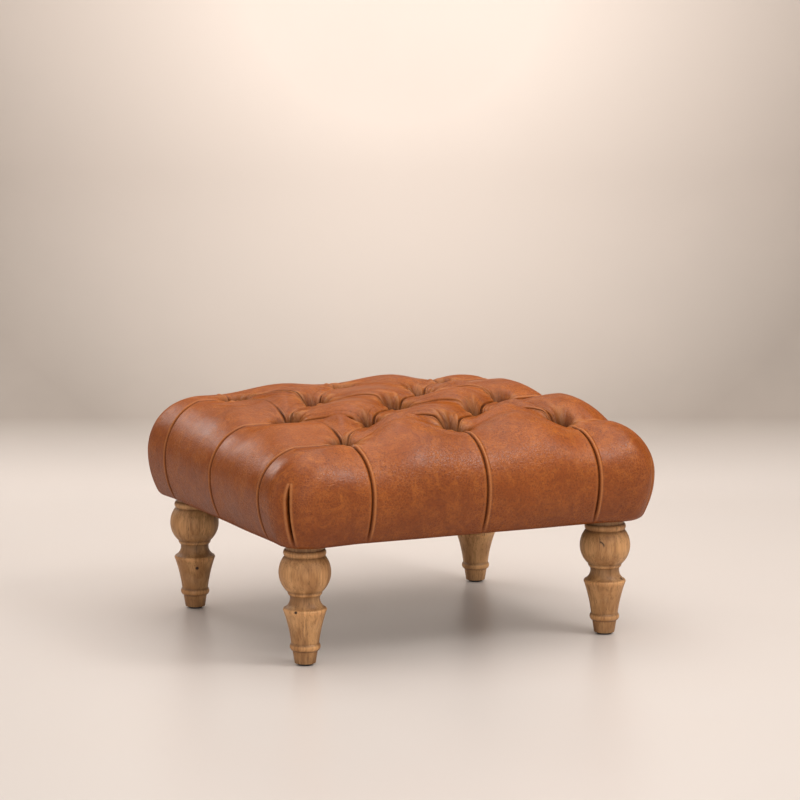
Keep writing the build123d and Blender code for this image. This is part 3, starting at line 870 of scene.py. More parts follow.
keep(cover, "beside", crease_gap)
keep(cover, "around", np.clip((wrinkle_reach - tuft_gap) / wrinkle_fade, 0, 1))
keep(cover, "gather", near_button * hill(crease_gap, 0, gather_width))
# Painted shade: the crease and pleat lines, the wells round the buttons and the corner slits get a dark
# mask.
crease_shade = 0.95 * hill(crease_gap, 0, crease_line_width) * (0.25 + 0.75 * near_button)
painted_fold_shade = np.maximum(hill(pleat_gap, pleat_line_place, pleat_line_width), crease_shade)
well = np.clip((well_shade_edge - tuft_gap) / well_shade_span, 0, 1) ** 1.2
keep(cover, "painted_fold_shade", np.clip(np.maximum(np.maximum(painted_fold_shade, slit), well * 0.95) * on_hide, 0, 1))
nearest = tuft_gaps.argmin(axis=1)
from_button = np.column_stack([points[:, :2] - tuft_spots[nearest], nearest * 0.01])
cover.data.attributes.new("from_button", "FLOAT_VECTOR", "POINT").data.foreach_set(
    "vector", from_button.astype(np.float32).ravel())
# The lips, ridge tops and slit rims are painted pale: partly rubbed wear, partly painted highlight.
rub_and_highlight = 0.75 * hill(pleat_gap, lip_place, lip_pale_width)
rub_and_highlight = np.maximum(rub_and_highlight, 0.25 * hill(pleat_gap, -far_lip_place, lip_pale_width))
rub_and_highlight = np.maximum(rub_and_highlight, 0.6 * hill(np.abs(crease_gap), crease_pale_place, crease_pale_width) * near_button)
rub_and_highlight = np.maximum(rub_and_highlight, np.clip(ridges / ridge_highlight_height, 0, 1) * 0.7)
keep(cover, "rub_and_highlight", np.clip(np.maximum(rub_and_highlight, 0.8 * slit_rim) * on_hide, 0, 1))
print(len(points), "points in the hide")


# %% [markdown]
# ## The wadding
#
# A layer of cotton wadding lies right under the hide and takes its shape, so it is the same surface a few
# millimetres further in. It is hidden while the cover is on.


# %% Wadding
wadding_depth = 0.0034
under_slits = slit_depth * np.maximum(slit, slit_near)
wadding = add_mesh("wadding_layer", points_smooth - normals * (wadding_depth + under_slits)[:, None], faces)
print("the wadding lies", wadding_depth * 1000, "mm under the hide")


# %% [markdown]
# ## Materials from nodes
#
# Every surface gets a material made of noise, cells and ramps, with no picture files. Small helpers keep
# the node trees short to write. What several materials share, such as fibres or crackle, is a node group:
# it is built once, has named inputs and outputs, and is used again wherever it is wanted.


# %% Helpers for node trees
def add(tree, kind, links=None, **settings):
    """A new node; links gives its sockets, by name or number, another node's output or a constant."""
    made = tree.nodes.new(kind)
    for name, value in settings.items():
        setattr(made, name, value)
    for key, value in (links or {}).items():
        if isinstance(value, bpy.types.NodeSocket):
            tree.links.new(value, made.inputs[key])
        else:
            made.inputs[key].default_value = value
    return made


def noise(tree, vector, scale, detail=4.0, roughness=0.55, distortion=0.0):
    """Noise from zero to one."""
    return add(tree, "ShaderNodeTexNoise", {"Vector": vector, "Scale": scale, "Detail": detail,
                                            "Roughness": roughness, "Distortion": distortion}).outputs[0]


def between(tree, value, low, high, to_low=0.0, to_high=1.0):
    """The value moved from one range to another and held inside it."""
    return add(tree, "ShaderNodeMapRange", {"Value": value, "From Min": low, "From Max": high,
                                            "To Min": to_low, "To Max": to_high}).outputs[0]


def calculate(tree, operation, one, two=0.0):
    """One step of arithmetic."""
    return add(tree, "ShaderNodeMath", {0: one, 1: two}, operation=operation).outputs[0]


def blend(tree, share, one, two, how="MIX"):
    """Two colours mixed by a share."""
    mix = add(tree, "ShaderNodeMix", {0: share, 6: one, 7: two}, data_type="RGBA", blend_type=how)
    return mix.outputs[2]


def stretched(tree, vector, scale):
    """Coordinates scaled along their axes."""
    return add(tree, "ShaderNodeMapping", {"Vector": vector, "Scale": scale}).outputs[0]


def bump(tree, height, strength, distance):
    """A normal from a height."""
    made = add(tree, "ShaderNodeBump", {"Height": height, "Strength": strength, "Distance": distance})
    return made.outputs[0]


def new_material(name):
    """A material with its tree, its shader and its object coordinates."""
    made = bpy.data.materials.new(name)
    made.use_nodes = True
    tree = made.node_tree
    place = add(tree, "ShaderNodeTexCoord").outputs["Object"]
    return made, tree, tree.nodes["Principled BSDF"], place


def plug(tree, shader, **inputs):
    """Set or link the shader's own sockets; underscores stand for spaces."""
    for name, value in inputs.items():
        socket = shader.inputs[name.replace("_", " ")]
        if isinstance(value, bpy.types.NodeSocket):
            tree.links.new(value, socket)
        else:
            socket.default_value = value


# %% [markdown]
# ## Plain surfaces, and groups that materials share
#
# Most hidden pieces need only two near tones, a roughness and a fine relief, so one function makes them
# all. For the leather and the woods, what several materials share is built once as a group with a vector
# and a scale. Copying the nodes into every material would work too, but a change would have to be made in
# each.


# %% Plain surfaces and shared groups
def plain_material(name, tone, other, roughness, scale, metallic=0.0, relief=0.2):
    """A surface of two near colours with a little roughness of its own."""
    made, tree, shader, place = new_material(name)
    grain = noise(tree, place, scale, 5.0, 0.6)
    plug(tree, shader, Metallic=metallic,
         Base_Color=blend(tree, between(tree, grain, 0.35, 0.68), tone, other),
         Roughness=between(tree, grain, 0.3, 0.7, roughness - 0.06, roughness + 0.06),
         Normal=bump(tree, grain, relief, 0.0004))
    return made


def new_group(name, outputs):
    """A node group with the inputs Vector and Scale and the given value outputs."""
    group = bpy.data.node_groups.new(name, "ShaderNodeTree")
    group.interface.new_socket("Vector", in_out="INPUT", socket_type="NodeSocketVector")
    group.interface.new_socket("Scale", in_out="INPUT", socket_type="NodeSocketFloat")
    for output in outputs:
        group.interface.new_socket(output, in_out="OUTPUT", socket_type="NodeSocketFloat")
    start = group.nodes.new("NodeGroupInput")
    return group, start.outputs["Vector"], start.outputs["Scale"], group.nodes.new("NodeGroupOutput")


def use_group(tree, group, vector, scale):
    """The outputs of a node group at a scale."""
    made = add(tree, "ShaderNodeGroup", node_tree=group)
    tree.links.new(vector, made.inputs["Vector"])
    made.inputs["Scale"].default_value = scale
    return made.outputs


# %% [markdown]
# ## The grain of a hide
#
# Leather has pebbles the size of a pinhead, and an old finish breaks into fine pale lines between them.
# Cells give both: the distance to a cell's middle makes pebbles, and the distance to its edge makes lines.
# Plain noise alone looks like suede.


# %% Group for the grain of a hide
pebble_ratio = 3.1
grain_wander = 0.004
patch_scale = 19.0
cloud_scale = 8.5
line_width = 0.130


def hide_grain_group():
    """Pebbled grain, and the crackle of fine lines that an old finish shows."""
    group, vector, scale, end = new_group("hide_grain", ("Pebbles", "Crackle", "Clouds"))
    fine = calculate(group, "MULTIPLY", scale, pebble_ratio)
    wander = add(group, "ShaderNodeTexNoise", {"Vector": vector, "Scale": scale, "Detail": 3.0}).outputs[1]
    bent = blend(group, grain_wander, vector, wander, "ADD")
    edges = add(group, "ShaderNodeTexVoronoi", {"Vector": bent, "Scale": scale},
                feature="DISTANCE_TO_EDGE").outputs[0]
    pebbles = add(group, "ShaderNodeTexVoronoi", {"Vector": bent, "Scale": fine},
                  feature="SMOOTH_F1").outputs[0]
    patch = noise(group, vector, patch_scale, 3.0)
    lines = between(group, edges, line_width, 0.0)
    shown = between(group, patch, 0.32, 0.62)
    clouds = noise(group, vector, cloud_scale, 6.0, 0.62, 0.4)
    group.links.new(pebbles, end.inputs["Pebbles"])
    group.links.new(calculate(group, "MULTIPLY", lines, shown), end.inputs["Crackle"])
    group.links.new(clouds, end.inputs["Clouds"])
    return group


hide_grain = hide_grain_group()
print(len(hide_grain.nodes), "nodes in", hide_grain.name)


# %% [markdown]
# ## Fine wrinkles
#
# The finest wrinkles are too small for the mesh, so the material draws them, from the attributes. They
# point at the nearest button, or run beside a crease. The way to the button is kept on the mesh as a
# vector, because a texture on object coordinates alone knows nothing of the buttons.


# %% Wrinkles and gathers in the colour
wrinkle_rate = 4.6
gather_rate = 330.0
button_offset = 170.0
drift_rate = 9.0


def button_wrinkles(tree):
    """Height of the fine wrinkles that point at the buttons, from the way to the nearest one."""
    away = add(tree, "ShaderNodeAttribute", attribute_name="from_button").outputs["Vector"]
    flat = add(tree, "ShaderNodeVectorMath", {0: away, 1: (1, 1, 0)}, operation="MULTIPLY").outputs[0]
    gap = add(tree, "ShaderNodeVectorMath", {0: flat}, operation="LENGTH").outputs["Value"]
    aim = add(tree, "ShaderNodeVectorMath", {0: flat}, operation="NORMALIZE").outputs[0]
    number = add(tree, "ShaderNodeVectorMath", {0: away, 1: (0, 0, button_offset)},
                 operation="MULTIPLY").outputs[0]
    drift = add(tree, "ShaderNodeVectorMath", {0: flat, 1: (drift_rate, drift_rate, 0)},
                operation="MULTIPLY").outputs[0]
    spot = add(tree, "ShaderNodeVectorMath", {0: aim, 1: number}, operation="ADD").outputs[0]
    spot = add(tree, "ShaderNodeVectorMath", {0: spot, 1: drift}, operation="ADD").outputs[0]
    folds = between(tree, noise(tree, spot, wrinkle_rate, 3.0, 0.6), 0.36, 0.66)
    around = add(tree, "ShaderNodeAttribute", attribute_name="around").outputs["Fac"]
    shown = calculate(tree, "MULTIPLY", between(tree, gap, 0.007, 0.011), between(tree, gap, 0.046, 0.016))
    shown = calculate(tree, "MULTIPLY", shown, around)
    return calculate(tree, "MULTIPLY", folds, shown)


def crease_gathers(tree):
    """Fine lines that run beside the creases where the hide is gathered towards a button."""
    beside = add(tree, "ShaderNodeAttribute", attribute_name="beside").outputs["Fac"]
    shown = add(tree, "ShaderNodeAttribute", attribute_name="gather").outputs["Fac"]
    along = calculate(tree, "MULTIPLY", beside, gather_rate)
    lines = add(tree, "ShaderNodeTexNoise", {"W": along, "Scale": 1.0, "Detail": 2.0},
                noise_dimensions="1D").outputs[0]
    return calculate(tree, "MULTIPLY", between(tree, lines, 0.54, 0.66), shown)


# %% [markdown]
# ## Cognac leather
#
# The colour is built up as a tanner builds it: a deep dye, lighter streaks, dark specks, and pale lines
# where the finish has cracked. The low sides get painted shade. Last come painted shade in the folds, the
# wells and the gather lines, and the pale lips, which are partly rubbed wear and partly painted highlight.
# The sheen fades where the surface turns away and in the folds, so that the brown stays clear there.


# %% Leather
deep_tan = (0.215, 0.047, 0.006, 1)
mid_tan = (0.330, 0.077, 0.008, 1)
light_tan = (0.560, 0.172, 0.026, 1)
rub_and_highlight_tan = (0.580, 0.235, 0.075, 1)
speck_and_shade_tan = (0.080, 0.017, 0.003, 1)
painted_shade_brown = (0.030, 0.009, 0.004, 1)
grain_scale = 225.0
speckle_scale = 320.0
streak_scale = 40.0
soft_grain_scale = 95.0
shade_top = 0.285
shade_foot = 0.170
leather_relief = 0.0007


def leather_material(name, folded):
    """Semi-gloss cognac leather; a folded one also has painted shade in the hide's folds, and pale lips that
    are rubbed wear and painted highlight.
    """
    made, tree, shader, place = new_material(name)
    grain = use_group(tree, hide_grain, place, grain_scale)
    speckle = noise(tree, place, speckle_scale, 5.0, 0.75)
    streaks = noise(tree, place, streak_scale, 5.0, 0.65, 1.2)
    tone = blend(tree, between(tree, grain["Clouds"], 0.28, 0.72), deep_tan, mid_tan)
    tone = blend(tree, between(tree, streaks, 0.46, 0.74, 0.0, 0.45), tone, light_tan)
    tone = blend(tree, between(tree, speckle, 0.46, 0.68, 0.0, 0.62), tone, speck_and_shade_tan)
    tone = blend(tree, calculate(tree, "MULTIPLY", grain["Crackle"], 0.34), tone, light_tan)
    height = calculate(tree, "MULTIPLY", grain["Pebbles"], 0.45)
    height = calculate(tree, "SUBTRACT", height, calculate(tree, "MULTIPLY", grain["Crackle"], 0.6))
    soft_grain = noise(tree, place, soft_grain_scale, 4.0)
    height = calculate(tree, "ADD", height, calculate(tree, "MULTIPLY", soft_grain, 1.2))
    level = add(tree, "ShaderNodeSeparateXYZ", {0: place}).outputs[2]
    # Painted shade: the low sides are darker towards the bottom.
    tone = blend(tree, between(tree, level, shade_top, shade_foot, 0.0, 0.50), tone, speck_and_shade_tan)
    if folded:
        painted_fold_shade = add(tree, "ShaderNodeAttribute", attribute_name="painted_fold_shade").outputs["Fac"]
        rub_and_highlight = add(tree, "ShaderNodeAttribute", attribute_name="rub_and_highlight").outputs["Fac"]
        # Pale lips, ridge tops and slit rims: partly rubbed wear, partly painted highlight.
        rub_and_highlight_share = calculate(tree, "MULTIPLY", rub_and_highlight, between(tree, speckle, 0.30, 0.66, 0.30, 0.85))
        tone = blend(tree, rub_and_highlight_share, tone, rub_and_highlight_tan)
        wrinkles = button_wrinkles(tree)
        # Wrinkle crests are painted pale: partly rubbed wear, partly painted highlight.
        tone = blend(tree, calculate(tree, "MULTIPLY", wrinkles, 0.22), tone, rub_and_highlight_tan)
        # Painted shade in the folds, the wells round the buttons and the corner slits.
        tone = blend(tree, calculate(tree, "MULTIPLY", painted_fold_shade, 0.92), tone, painted_shade_brown)
        height = calculate(tree, "ADD", height, calculate(tree, "MULTIPLY", wrinkles, 2.6))
        gathers = crease_gathers(tree)
        # Painted shade: the fine gather lines beside the creases are darkened.
        tone = blend(tree, calculate(tree, "MULTIPLY", gathers, 0.55), tone, speck_and_shade_tan)
        height = calculate(tree, "SUBTRACT", height, calculate(tree, "MULTIPLY", gathers, 2.2))
    away = add(tree, "ShaderNodeLayerWeight", {"Blend": 0.5}).outputs["Facing"]
    gloss = between(tree, away, 0.30, 0.80, 0.30, 0.01)
    if folded:
        gloss = calculate(tree, "MULTIPLY", gloss, between(tree, painted_fold_shade, 0.0, 1.0, 1.0, 0.15))
    plug(tree, shader, Base_Color=tone, Roughness=between(tree, grain["Clouds"], 0.3, 0.7, 0.27, 0.37),
         Normal=bump(tree, height, 0.45, leather_relief), Specular_IOR_Level=gloss)
    return made


leather = leather_material("cognac_leather", True)
button_leather = leather_material("button_leather", False)
cover.data.materials.append(leather)
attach(cover, "root")
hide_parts("leather_cover")
print("leather on", cover.name)


# %% [markdown]
# ## What repeats: stitches and buttons
#
# A row of stitches holds the lip of every pleat, and the same button sits thirteen times on the seat. Such
# repeats are made by Geometry Nodes: one small shape, placed along a curve or on points, with its spacing
# and size as named inputs. The result is turned into a plain mesh, so that it can ride with the part.


# %% Helpers for geometry nodes
def new_geometry_group(name, inputs):
    """A geometry node group with a geometry input, named number inputs and a geometry output."""
    group = bpy.data.node_groups.new(name, "GeometryNodeTree")
    group.interface.new_socket("Geometry", in_out="INPUT", socket_type="NodeSocketGeometry")
    sockets = {}
    for label, kind in inputs.items():
        sockets[label] = group.interface.new_socket(label, in_out="INPUT", socket_type=kind).identifier
    group.interface.new_socket("Geometry", in_out="OUTPUT", socket_type="NodeSocketGeometry")
    return group, sockets, group.nodes.new("NodeGroupInput"), group.nodes.new("NodeGroupOutput")


def grown(name, seed_piece, group, sockets, values):
    """The plain mesh that a geometry node group makes from a piece, under a new name."""
    modifier = seed_piece.modifiers.new(name, "NODES")
    modifier.node_group = group
    for label, value in values.items():
        modifier[sockets[label]] = value
    bpy.context.view_layer.update()
    mesh = bpy.data.meshes.new_from_object(seed_piece.evaluated_get(bpy.context.evaluated_depsgraph_get()))
    seed_piece.modifiers.clear()
    bpy.data.objects.remove(seed_piece)
    mesh.name = name
    mesh.polygons.foreach_set("use_smooth", [True] * len(mesh.polygons))
    piece = bpy.data.objects.new(name, mesh)
    bpy.context.scene.collection.objects.link(piece)
    return piece


# %% [markdown]
# ## Stitches
#
# One stitch is a short thread, stretched from a ball, and is set at even steps along lines that are first
# laid on the hide beside the pleats. A loop could copy it too, but the nodes take pitch, length and radius
# as named inputs. The photo only hints at stitches, so their pitch is a guess.


# %% Stitches along the pleats
stitch_pitch = 0.0034
stitch_length = 0.0022
stitch_radius = 0.00042
stitch_sink = 0.00012
stitch_line_step = 0.002


def stitch_group(material):
    """Stitches at even steps along every curve, each turned to lie along it."""
    group, sockets, start, end = new_geometry_group("pleat_stitches", {
        "Pitch": "NodeSocketFloat", "Length": "NodeSocketFloat", "Radius": "NodeSocketFloat"})
    curve = add(group, "GeometryNodeMeshToCurve", {"Mesh": start.outputs["Geometry"]}).outputs[0]
    steps = add(group, "GeometryNodeResampleCurve", {"Curve": curve, "Length": start.outputs["Pitch"]},
                mode="LENGTH")
    tangent = add(group, "GeometryNodeInputTangent").outputs[0]
    facing = add(group, "FunctionNodeAlignRotationToVector", {"Vector": tangent}, axis="Z").outputs[0]
    ball = add(group, "GeometryNodeMeshUVSphere", {"Segments": 8, "Rings": 6,
                                                   "Radius": start.outputs["Radius"]}).outputs[0]
    long = calculate_ratio(group, start.outputs["Length"], start.outputs["Radius"])
    size = add(group, "ShaderNodeCombineXYZ", {0: 1.0, 1: 1.0, 2: long}).outputs[0]
    thread = add(group, "GeometryNodeTransform", {"Geometry": ball, "Scale": size}).outputs[0]
    placed = add(group, "GeometryNodeInstanceOnPoints", {
        "Points": steps.outputs[0], "Instance": thread, "Rotation": facing}).outputs[0]
    real = add(group, "GeometryNodeRealizeInstances", {0: placed}).outputs[0]
    dressed = add(group, "GeometryNodeSetMaterial", {"Geometry": real, "Material": material}).outputs[0]
    group.links.new(dressed, end.inputs[0])
    return group, sockets


def calculate_ratio(tree, length, radius):
    """How much longer than wide a stitch is."""
    double = calculate(tree, "MULTIPLY", radius, 2.0)
    return calculate(tree, "DIVIDE", length, double)


def stitch_lines():
    """Lines on the hide where the stitches lie, beside the lip of every pleat."""
    surface = BVHTree.FromPolygons(points.tolist(), faces)
    spots, edges = [], []
    for line, sideways in zip(pleat_lines, pleat_sides):
        line = dense(line[line[:, 2] > base_height + edge_roll_radius], stitch_line_step)
        start = len(spots)
        for spot in line:
            wanted = Vector((*(spot[:2] + sideways * seam_place), spot[2]))
            place, normal, _, _ = surface.find_nearest(wanted)
            spots.append(tuple(place - normal * stitch_sink))
        edges += [(n, n + 1) for n in range(start, len(spots) - 1)]
    return spots, edges


def add_lines(name, spots, edges):
    """A mesh of lines only, as the seed of something grown."""
    mesh = bpy.data.meshes.new(name)
    mesh.from_pydata(spots, edges, [])
    piece = bpy.data.objects.new(name, mesh)
    bpy.context.scene.collection.objects.link(piece)
    return piece


thread = plain_material("waxed_thread", (0.150, 0.052, 0.016, 1), (0.085, 0.028, 0.009, 1), 0.55, 900.0)
group, sockets = stitch_group(thread)
stitches = grown("pleat_stitches", add_lines("stitch_lines", *stitch_lines()), group, sockets,
                 {"Pitch": stitch_pitch, "Length": stitch_length, "Radius": stitch_radius})
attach(stitches, "root")
print(len(stitches.data.polygons), "faces in the stitches")


# %% [markdown]
# ## A covered button
#
# A button is a metal mould with a scrap of the same hide stretched over it: domed, flat at its rim, and
# drawn in at its foot, where the scrap puckers. It could be spun from a profile, but rings of points let
# the puckers grow towards the rim.


# %% Shape of a covered button
button_height = 0.0078
button_rim = 0.0020
button_foot = 0.2850
button_puckers = 9
pucker_depth = 0.018
foot_rings = ((0.97, 0.0008), (0.90, 0.0))
most_turn = 6.28


def button_shape():
    """Domed button of the hide's leather: pressed flat at its rim and drawn in at its foot."""
    turns, rings = 32, 12
    spots = [(0, 0, button_height)]
    for ring in range(1, rings + 1):
        slope = math.pi / 2 * ring / rings
        radius = button_radius * math.sin(slope) ** 0.85
        level = button_rim + (button_height - button_rim) * math.cos(slope)
        for turn in range(turns):
            angle = 2 * math.pi * turn / turns
            pucker = 1 + pucker_depth * math.sin(button_puckers * angle + 0.6) * (ring / rings) ** 3
            spots.append((radius * pucker * math.cos(angle), radius * pucker * math.sin(angle), level))
    for share, level in foot_rings:
        radius = button_radius * share
        for turn in range(turns):
            angle = 2 * math.pi * turn / turns
            spots.append((radius * math.cos(angle), radius * math.sin(angle), level))
    spots.append((0, 0, 0))
    last = rings + 2
    made = [(0, 1 + turn, 1 + (turn + 1) % turns) for turn in range(turns)]
    for ring in range(last - 1):
        one, two = 1 + ring * turns, 1 + (ring + 1) * turns
        made += [(one + t, two + t, two + (t + 1) % turns, one + (t + 1) % turns) for t in range(turns)]
    foot = 1 + (last - 1) * turns
    made += [(foot + (t + 1) % turns, foot + t, len(spots) - 1) for t in range(turns)]
    return spots, made


# %% [markdown]
# ## Thirteen buttons
#
# The same button is set on thirteen points, each turned by its own random angle from a fixed seed, as
# nobody sews them all the same way round. The result stands for the construction's buttons, which stay in
# place for the motion model but aren't shown.


# %% Grow the buttons
def button_group(material, shape):
    """One button on every point, each turned a little differently."""
    group, sockets, start, end = new_geometry_group("covered_buttons", {
        "Size": "NodeSocketFloat", "Seed": "NodeSocketInt"})
    spots = add(group, "GeometryNodeMeshToPoints", {"Mesh": start.outputs["Geometry"]}).outputs[0]
    turn = add(group, "FunctionNodeRandomValue", {"Max": (0, 0, most_turn), "Seed": start.outputs["Seed"]},
               data_type="FLOAT_VECTOR").outputs[0]
    one = add(group, "GeometryNodeObjectInfo", {"Object": shape}).outputs["Geometry"]
    placed = add(group, "GeometryNodeInstanceOnPoints", {"Points": spots, "Instance": one, "Rotation": turn,
                                                         "Scale": start.outputs["Size"]}).outputs[0]
    real = add(group, "GeometryNodeRealizeInstances", {0: placed}).outputs[0]
    dressed = add(group, "GeometryNodeSetMaterial", {"Geometry": real, "Material": material}).outputs[0]
    group.links.new(dressed, end.inputs[0])
    return group, sockets


shape = add_mesh("button_shape", *button_shape())
group, sockets = button_group(button_leather, shape)
seats = [(*spot, button_foot) for spot in tuft_spots.tolist()]
buttons = grown("covered_buttons", add_lines("button_places", seats, []), group, sockets,
                {"Size": 1.0, "Seed": 5})
bpy.data.objects.remove(shape)
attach(buttons, "root")
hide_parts(*[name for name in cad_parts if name.startswith("button_row")])
print(len(buttons.data.polygons), "faces in the buttons")


# %% [markdown]
# ## Wood
#
# Wood is long fibres, short dark pores and the broad figure of its year rings, all drawn out along the
# trunk. Stretching noise along one axis gives each of them. One group serves the legs, the rails, the
# plywood and the dowels, with its fibres turned to run along each piece.


# %% Group for the fibres of wood
fibre_stretch = 0.055
figure_stretch = 0.16
pore_ratio = 3.2
figure_scale = 34.0
plain_wood_scale = 300.0


def wood_fibre_group():
    """Long fibres and pores along Z, and the broad figure of the year rings."""
    group, vector, scale, end = new_group("wood_fibres", ("Fibres", "Pores", "Figure"))
    long = stretched(group, vector, (1.0, 1.0, fibre_stretch))
    fibres = add(group, "ShaderNodeTexNoise", {"Vector": long, "Scale": scale, "Detail": 6.0,
                                               "Roughness": 0.65, "Distortion": 0.3}).outputs[0]
    fine = calculate(group, "MULTIPLY", scale, pore_ratio)
    pore = add(group, "ShaderNodeTexNoise", {"Vector": long, "Scale": fine, "Detail": 2.0}).outputs[0]
    broad = stretched(group, vector, (1.0, 1.0, figure_stretch))
    figure = noise(group, broad, figure_scale, 3.0, 0.5, 1.6)
    group.links.new(fibres, end.inputs["Fibres"])
    group.links.new(between(group, pore, 0.60, 0.72), end.inputs["Pores"])
    group.links.new(figure, end.inputs["Figure"])
    return group


wood_fibres = wood_fibre_group()


def wood_material(name, light, mid, dark, turn=(0.0, 0.0, 0.0), roughness=0.6):
    """Plain sawn or planed wood, with its fibres turned to run along the piece."""
    made, tree, shader, place = new_material(name)
    lying = add(tree, "ShaderNodeMapping", {"Vector": place, "Rotation": turn}).outputs[0]
    fibres = use_group(tree, wood_fibres, lying, plain_wood_scale)
    tone = blend(tree, between(tree, fibres["Figure"], 0.38, 0.64), light, mid)
    tone = blend(tree, between(tree, fibres["Fibres"], 0.45, 0.75, 0.0, 0.7), tone, dark)
    plug(tree, shader, Base_Color=tone, Roughness=roughness,
         Normal=bump(tree, fibres["Fibres"], 0.25, 0.0005))
    return made


print(len(wood_fibres.nodes), "nodes in", wood_fibres.name)


# %% [markdown]
# ## Weathered oak
#
# The legs are oak, turned on a lathe and waxed. A ramp over the height on the leg paints shade into the
# grooves and makes the rims paler. Cracks and knots are rare cells. A mask of edge wear from the mesh would
# catch the rims too, but not the painted shade in the grooves.


# %% Weathered oak of the legs
oak_top = 0.1736
oak_groove_shade_and_rims = [(0.0000, 0.55), (0.0190, 0.80), (0.0208, 0.42), (0.0235, 1.10), (0.0275, 1.16), (0.0300, 0.50),
              (0.0330, 0.86), (0.0600, 0.95), (0.0730, 1.02), (0.0775, 1.28), (0.0800, 1.18), (0.0815, 0.62),
              (0.0900, 0.70), (0.0965, 0.52), (0.0985, 0.62), (0.1010, 1.16), (0.1035, 0.55), (0.1080, 0.92),
              (0.1310, 1.06), (0.1500, 0.92), (0.1532, 0.45), (0.1560, 1.00), (0.1590, 1.12), (0.1628, 0.50),
              (0.1650, 0.62)]
light_oak = (0.600, 0.322, 0.132, 1)
mid_oak = (0.370, 0.176, 0.062, 1)
dark_oak = (0.185, 0.086, 0.032, 1)
rubbed_oak = (0.610, 0.385, 0.200, 1)
pore_brown = (0.075, 0.032, 0.012, 1)
flaw_brown = (0.030, 0.012, 0.005, 1)
oak_fibre_scale = 260.0
blotch_scale = 26.0
crack_scale = 52.0
crack_stretch = 0.11
rare_scale = 31.0
knot_scale = 24.0
wobble_scale = 60.0
ring_wobble = 0.0014
oak_relief = 0.0006


def painted_ring_shade(tree, height):
    """Painted shade in the grooves and paler rims, by height on a turned leg."""
    ramp = add(tree, "ShaderNodeValToRGB", {0: between(tree, height, 0.0, oak_top)})
    stops = ramp.color_ramp.elements
    for number, (level, shade) in enumerate(oak_groove_shade_and_rims):
        stop = stops[number] if number < 2 else stops.new(level / oak_top)
        stop.position = level / oak_top
        stop.color = (shade / 2, shade / 2, shade / 2, 1)
    return ramp.outputs[0]


def oak_material():
    """Warm brown oak with open pores, dark cracks, paler rims and painted shade in its grooves."""
    made, tree, shader, place = new_material("weathered_oak")
    fibres = use_group(tree, wood_fibres, place, oak_fibre_scale)
    tone = blend(tree, between(tree, fibres["Figure"], 0.36, 0.62), light_oak, mid_oak)
    tone = blend(tree, between(tree, fibres["Fibres"], 0.47, 0.72, 0.0, 0.75), tone, dark_oak)
    tone = blend(tree, calculate(tree, "MULTIPLY", fibres["Pores"], 0.55), tone, pore_brown)
    blotch = noise(tree, place, blotch_scale, 4.0, 0.6)
    tone = blend(tree, between(tree, blotch, 0.52, 0.78, 0.0, 0.45), tone, rubbed_oak)
    crack_place = stretched(tree, place, (1.0, 1.0, crack_stretch))
    crack = add(tree, "ShaderNodeTexVoronoi", {"Vector": crack_place, "Scale": crack_scale},
                feature="DISTANCE_TO_EDGE").outputs[0]
    rare = between(tree, noise(tree, place, rare_scale, 2.0), 0.60, 0.66)
    crack = calculate(tree, "MULTIPLY", between(tree, crack, 0.022, 0.0), rare)
    knot = add(tree, "ShaderNodeTexVoronoi", {"Vector": place, "Scale": knot_scale}).outputs[0]
    knot = between(tree, knot, 0.075, 0.045)
    flaw = calculate(tree, "MAXIMUM", crack, knot)
    tone = blend(tree, flaw, tone, flaw_brown)
    wobble = calculate(tree, "SUBTRACT", noise(tree, place, wobble_scale), 0.5)
    wobble = calculate(tree, "MULTIPLY", wobble, ring_wobble)
    height = calculate(tree, "ADD", add(tree, "ShaderNodeSeparateXYZ", {0: place}).outputs[2], wobble)
    # Painted shade: the height ramp darkens the grooves and lightens the rims.
    doubled = blend(tree, 1.0, painted_ring_shade(tree, height), (2.0, 2.0, 2.0, 1), "MULTIPLY")
    tone = blend(tree, 0.85, tone, doubled, "MULTIPLY")
    relief = calculate(tree, "SUBTRACT", fibres["Fibres"], calculate(tree, "MULTIPLY", flaw, 1.5))
    plug(tree, shader, Base_Color=tone, Roughness=between(tree, fibres["Fibres"], 0.3, 0.7, 0.42, 0.60),
         Normal=bump(tree, relief, 0.40, oak_relief), Specular_IOR_Level=0.40)
    return made


oak = oak_material()
print(len(oak.node_tree.nodes), "nodes in", oak.name)


# %% [markdown]
# ## Everything under the hide
#
# The rest of the stool is out of sight, but it is all there when the cover comes off, so it is dressed
# too: cotton wadding, yellow foam, plywood, pale framing wood, zinc-plated steel, waxed twine and black
# cambric. Each is a pair of near tones with a grain of its own size.


# %% The other materials
along_x = (0.0, math.pi / 2, 0.0)
plain_finishes = {
    "wadding": ("cotton_wadding", (0.80, 0.78, 0.72, 1), (0.66, 0.63, 0.56, 1), 0.93, 180.0, 0.0, 0.8),
    "foam": ("open_foam", (0.86, 0.74, 0.42, 1), (0.74, 0.60, 0.30, 1), 0.90, 700.0, 0.0, 0.6),
    "steel": ("zinc_steel", (0.56, 0.56, 0.58, 1), (0.38, 0.38, 0.40, 1), 0.34, 260.0, 1.0, 0.2),
    "twine": ("waxed_twine", (0.22, 0.16, 0.10, 1), (0.12, 0.08, 0.05, 1), 0.72, 900.0, 0.0, 0.7),
    "nylon": ("black_nylon", (0.020, 0.018, 0.016, 1), (0.035, 0.032, 0.030, 1), 0.50, 300.0, 0.0, 0.2),
    "cambric": ("black_cambric", (0.010, 0.010, 0.010, 1), (0.030, 0.029, 0.028, 1), 0.88, 1400.0, 0.0, 0.7),
}
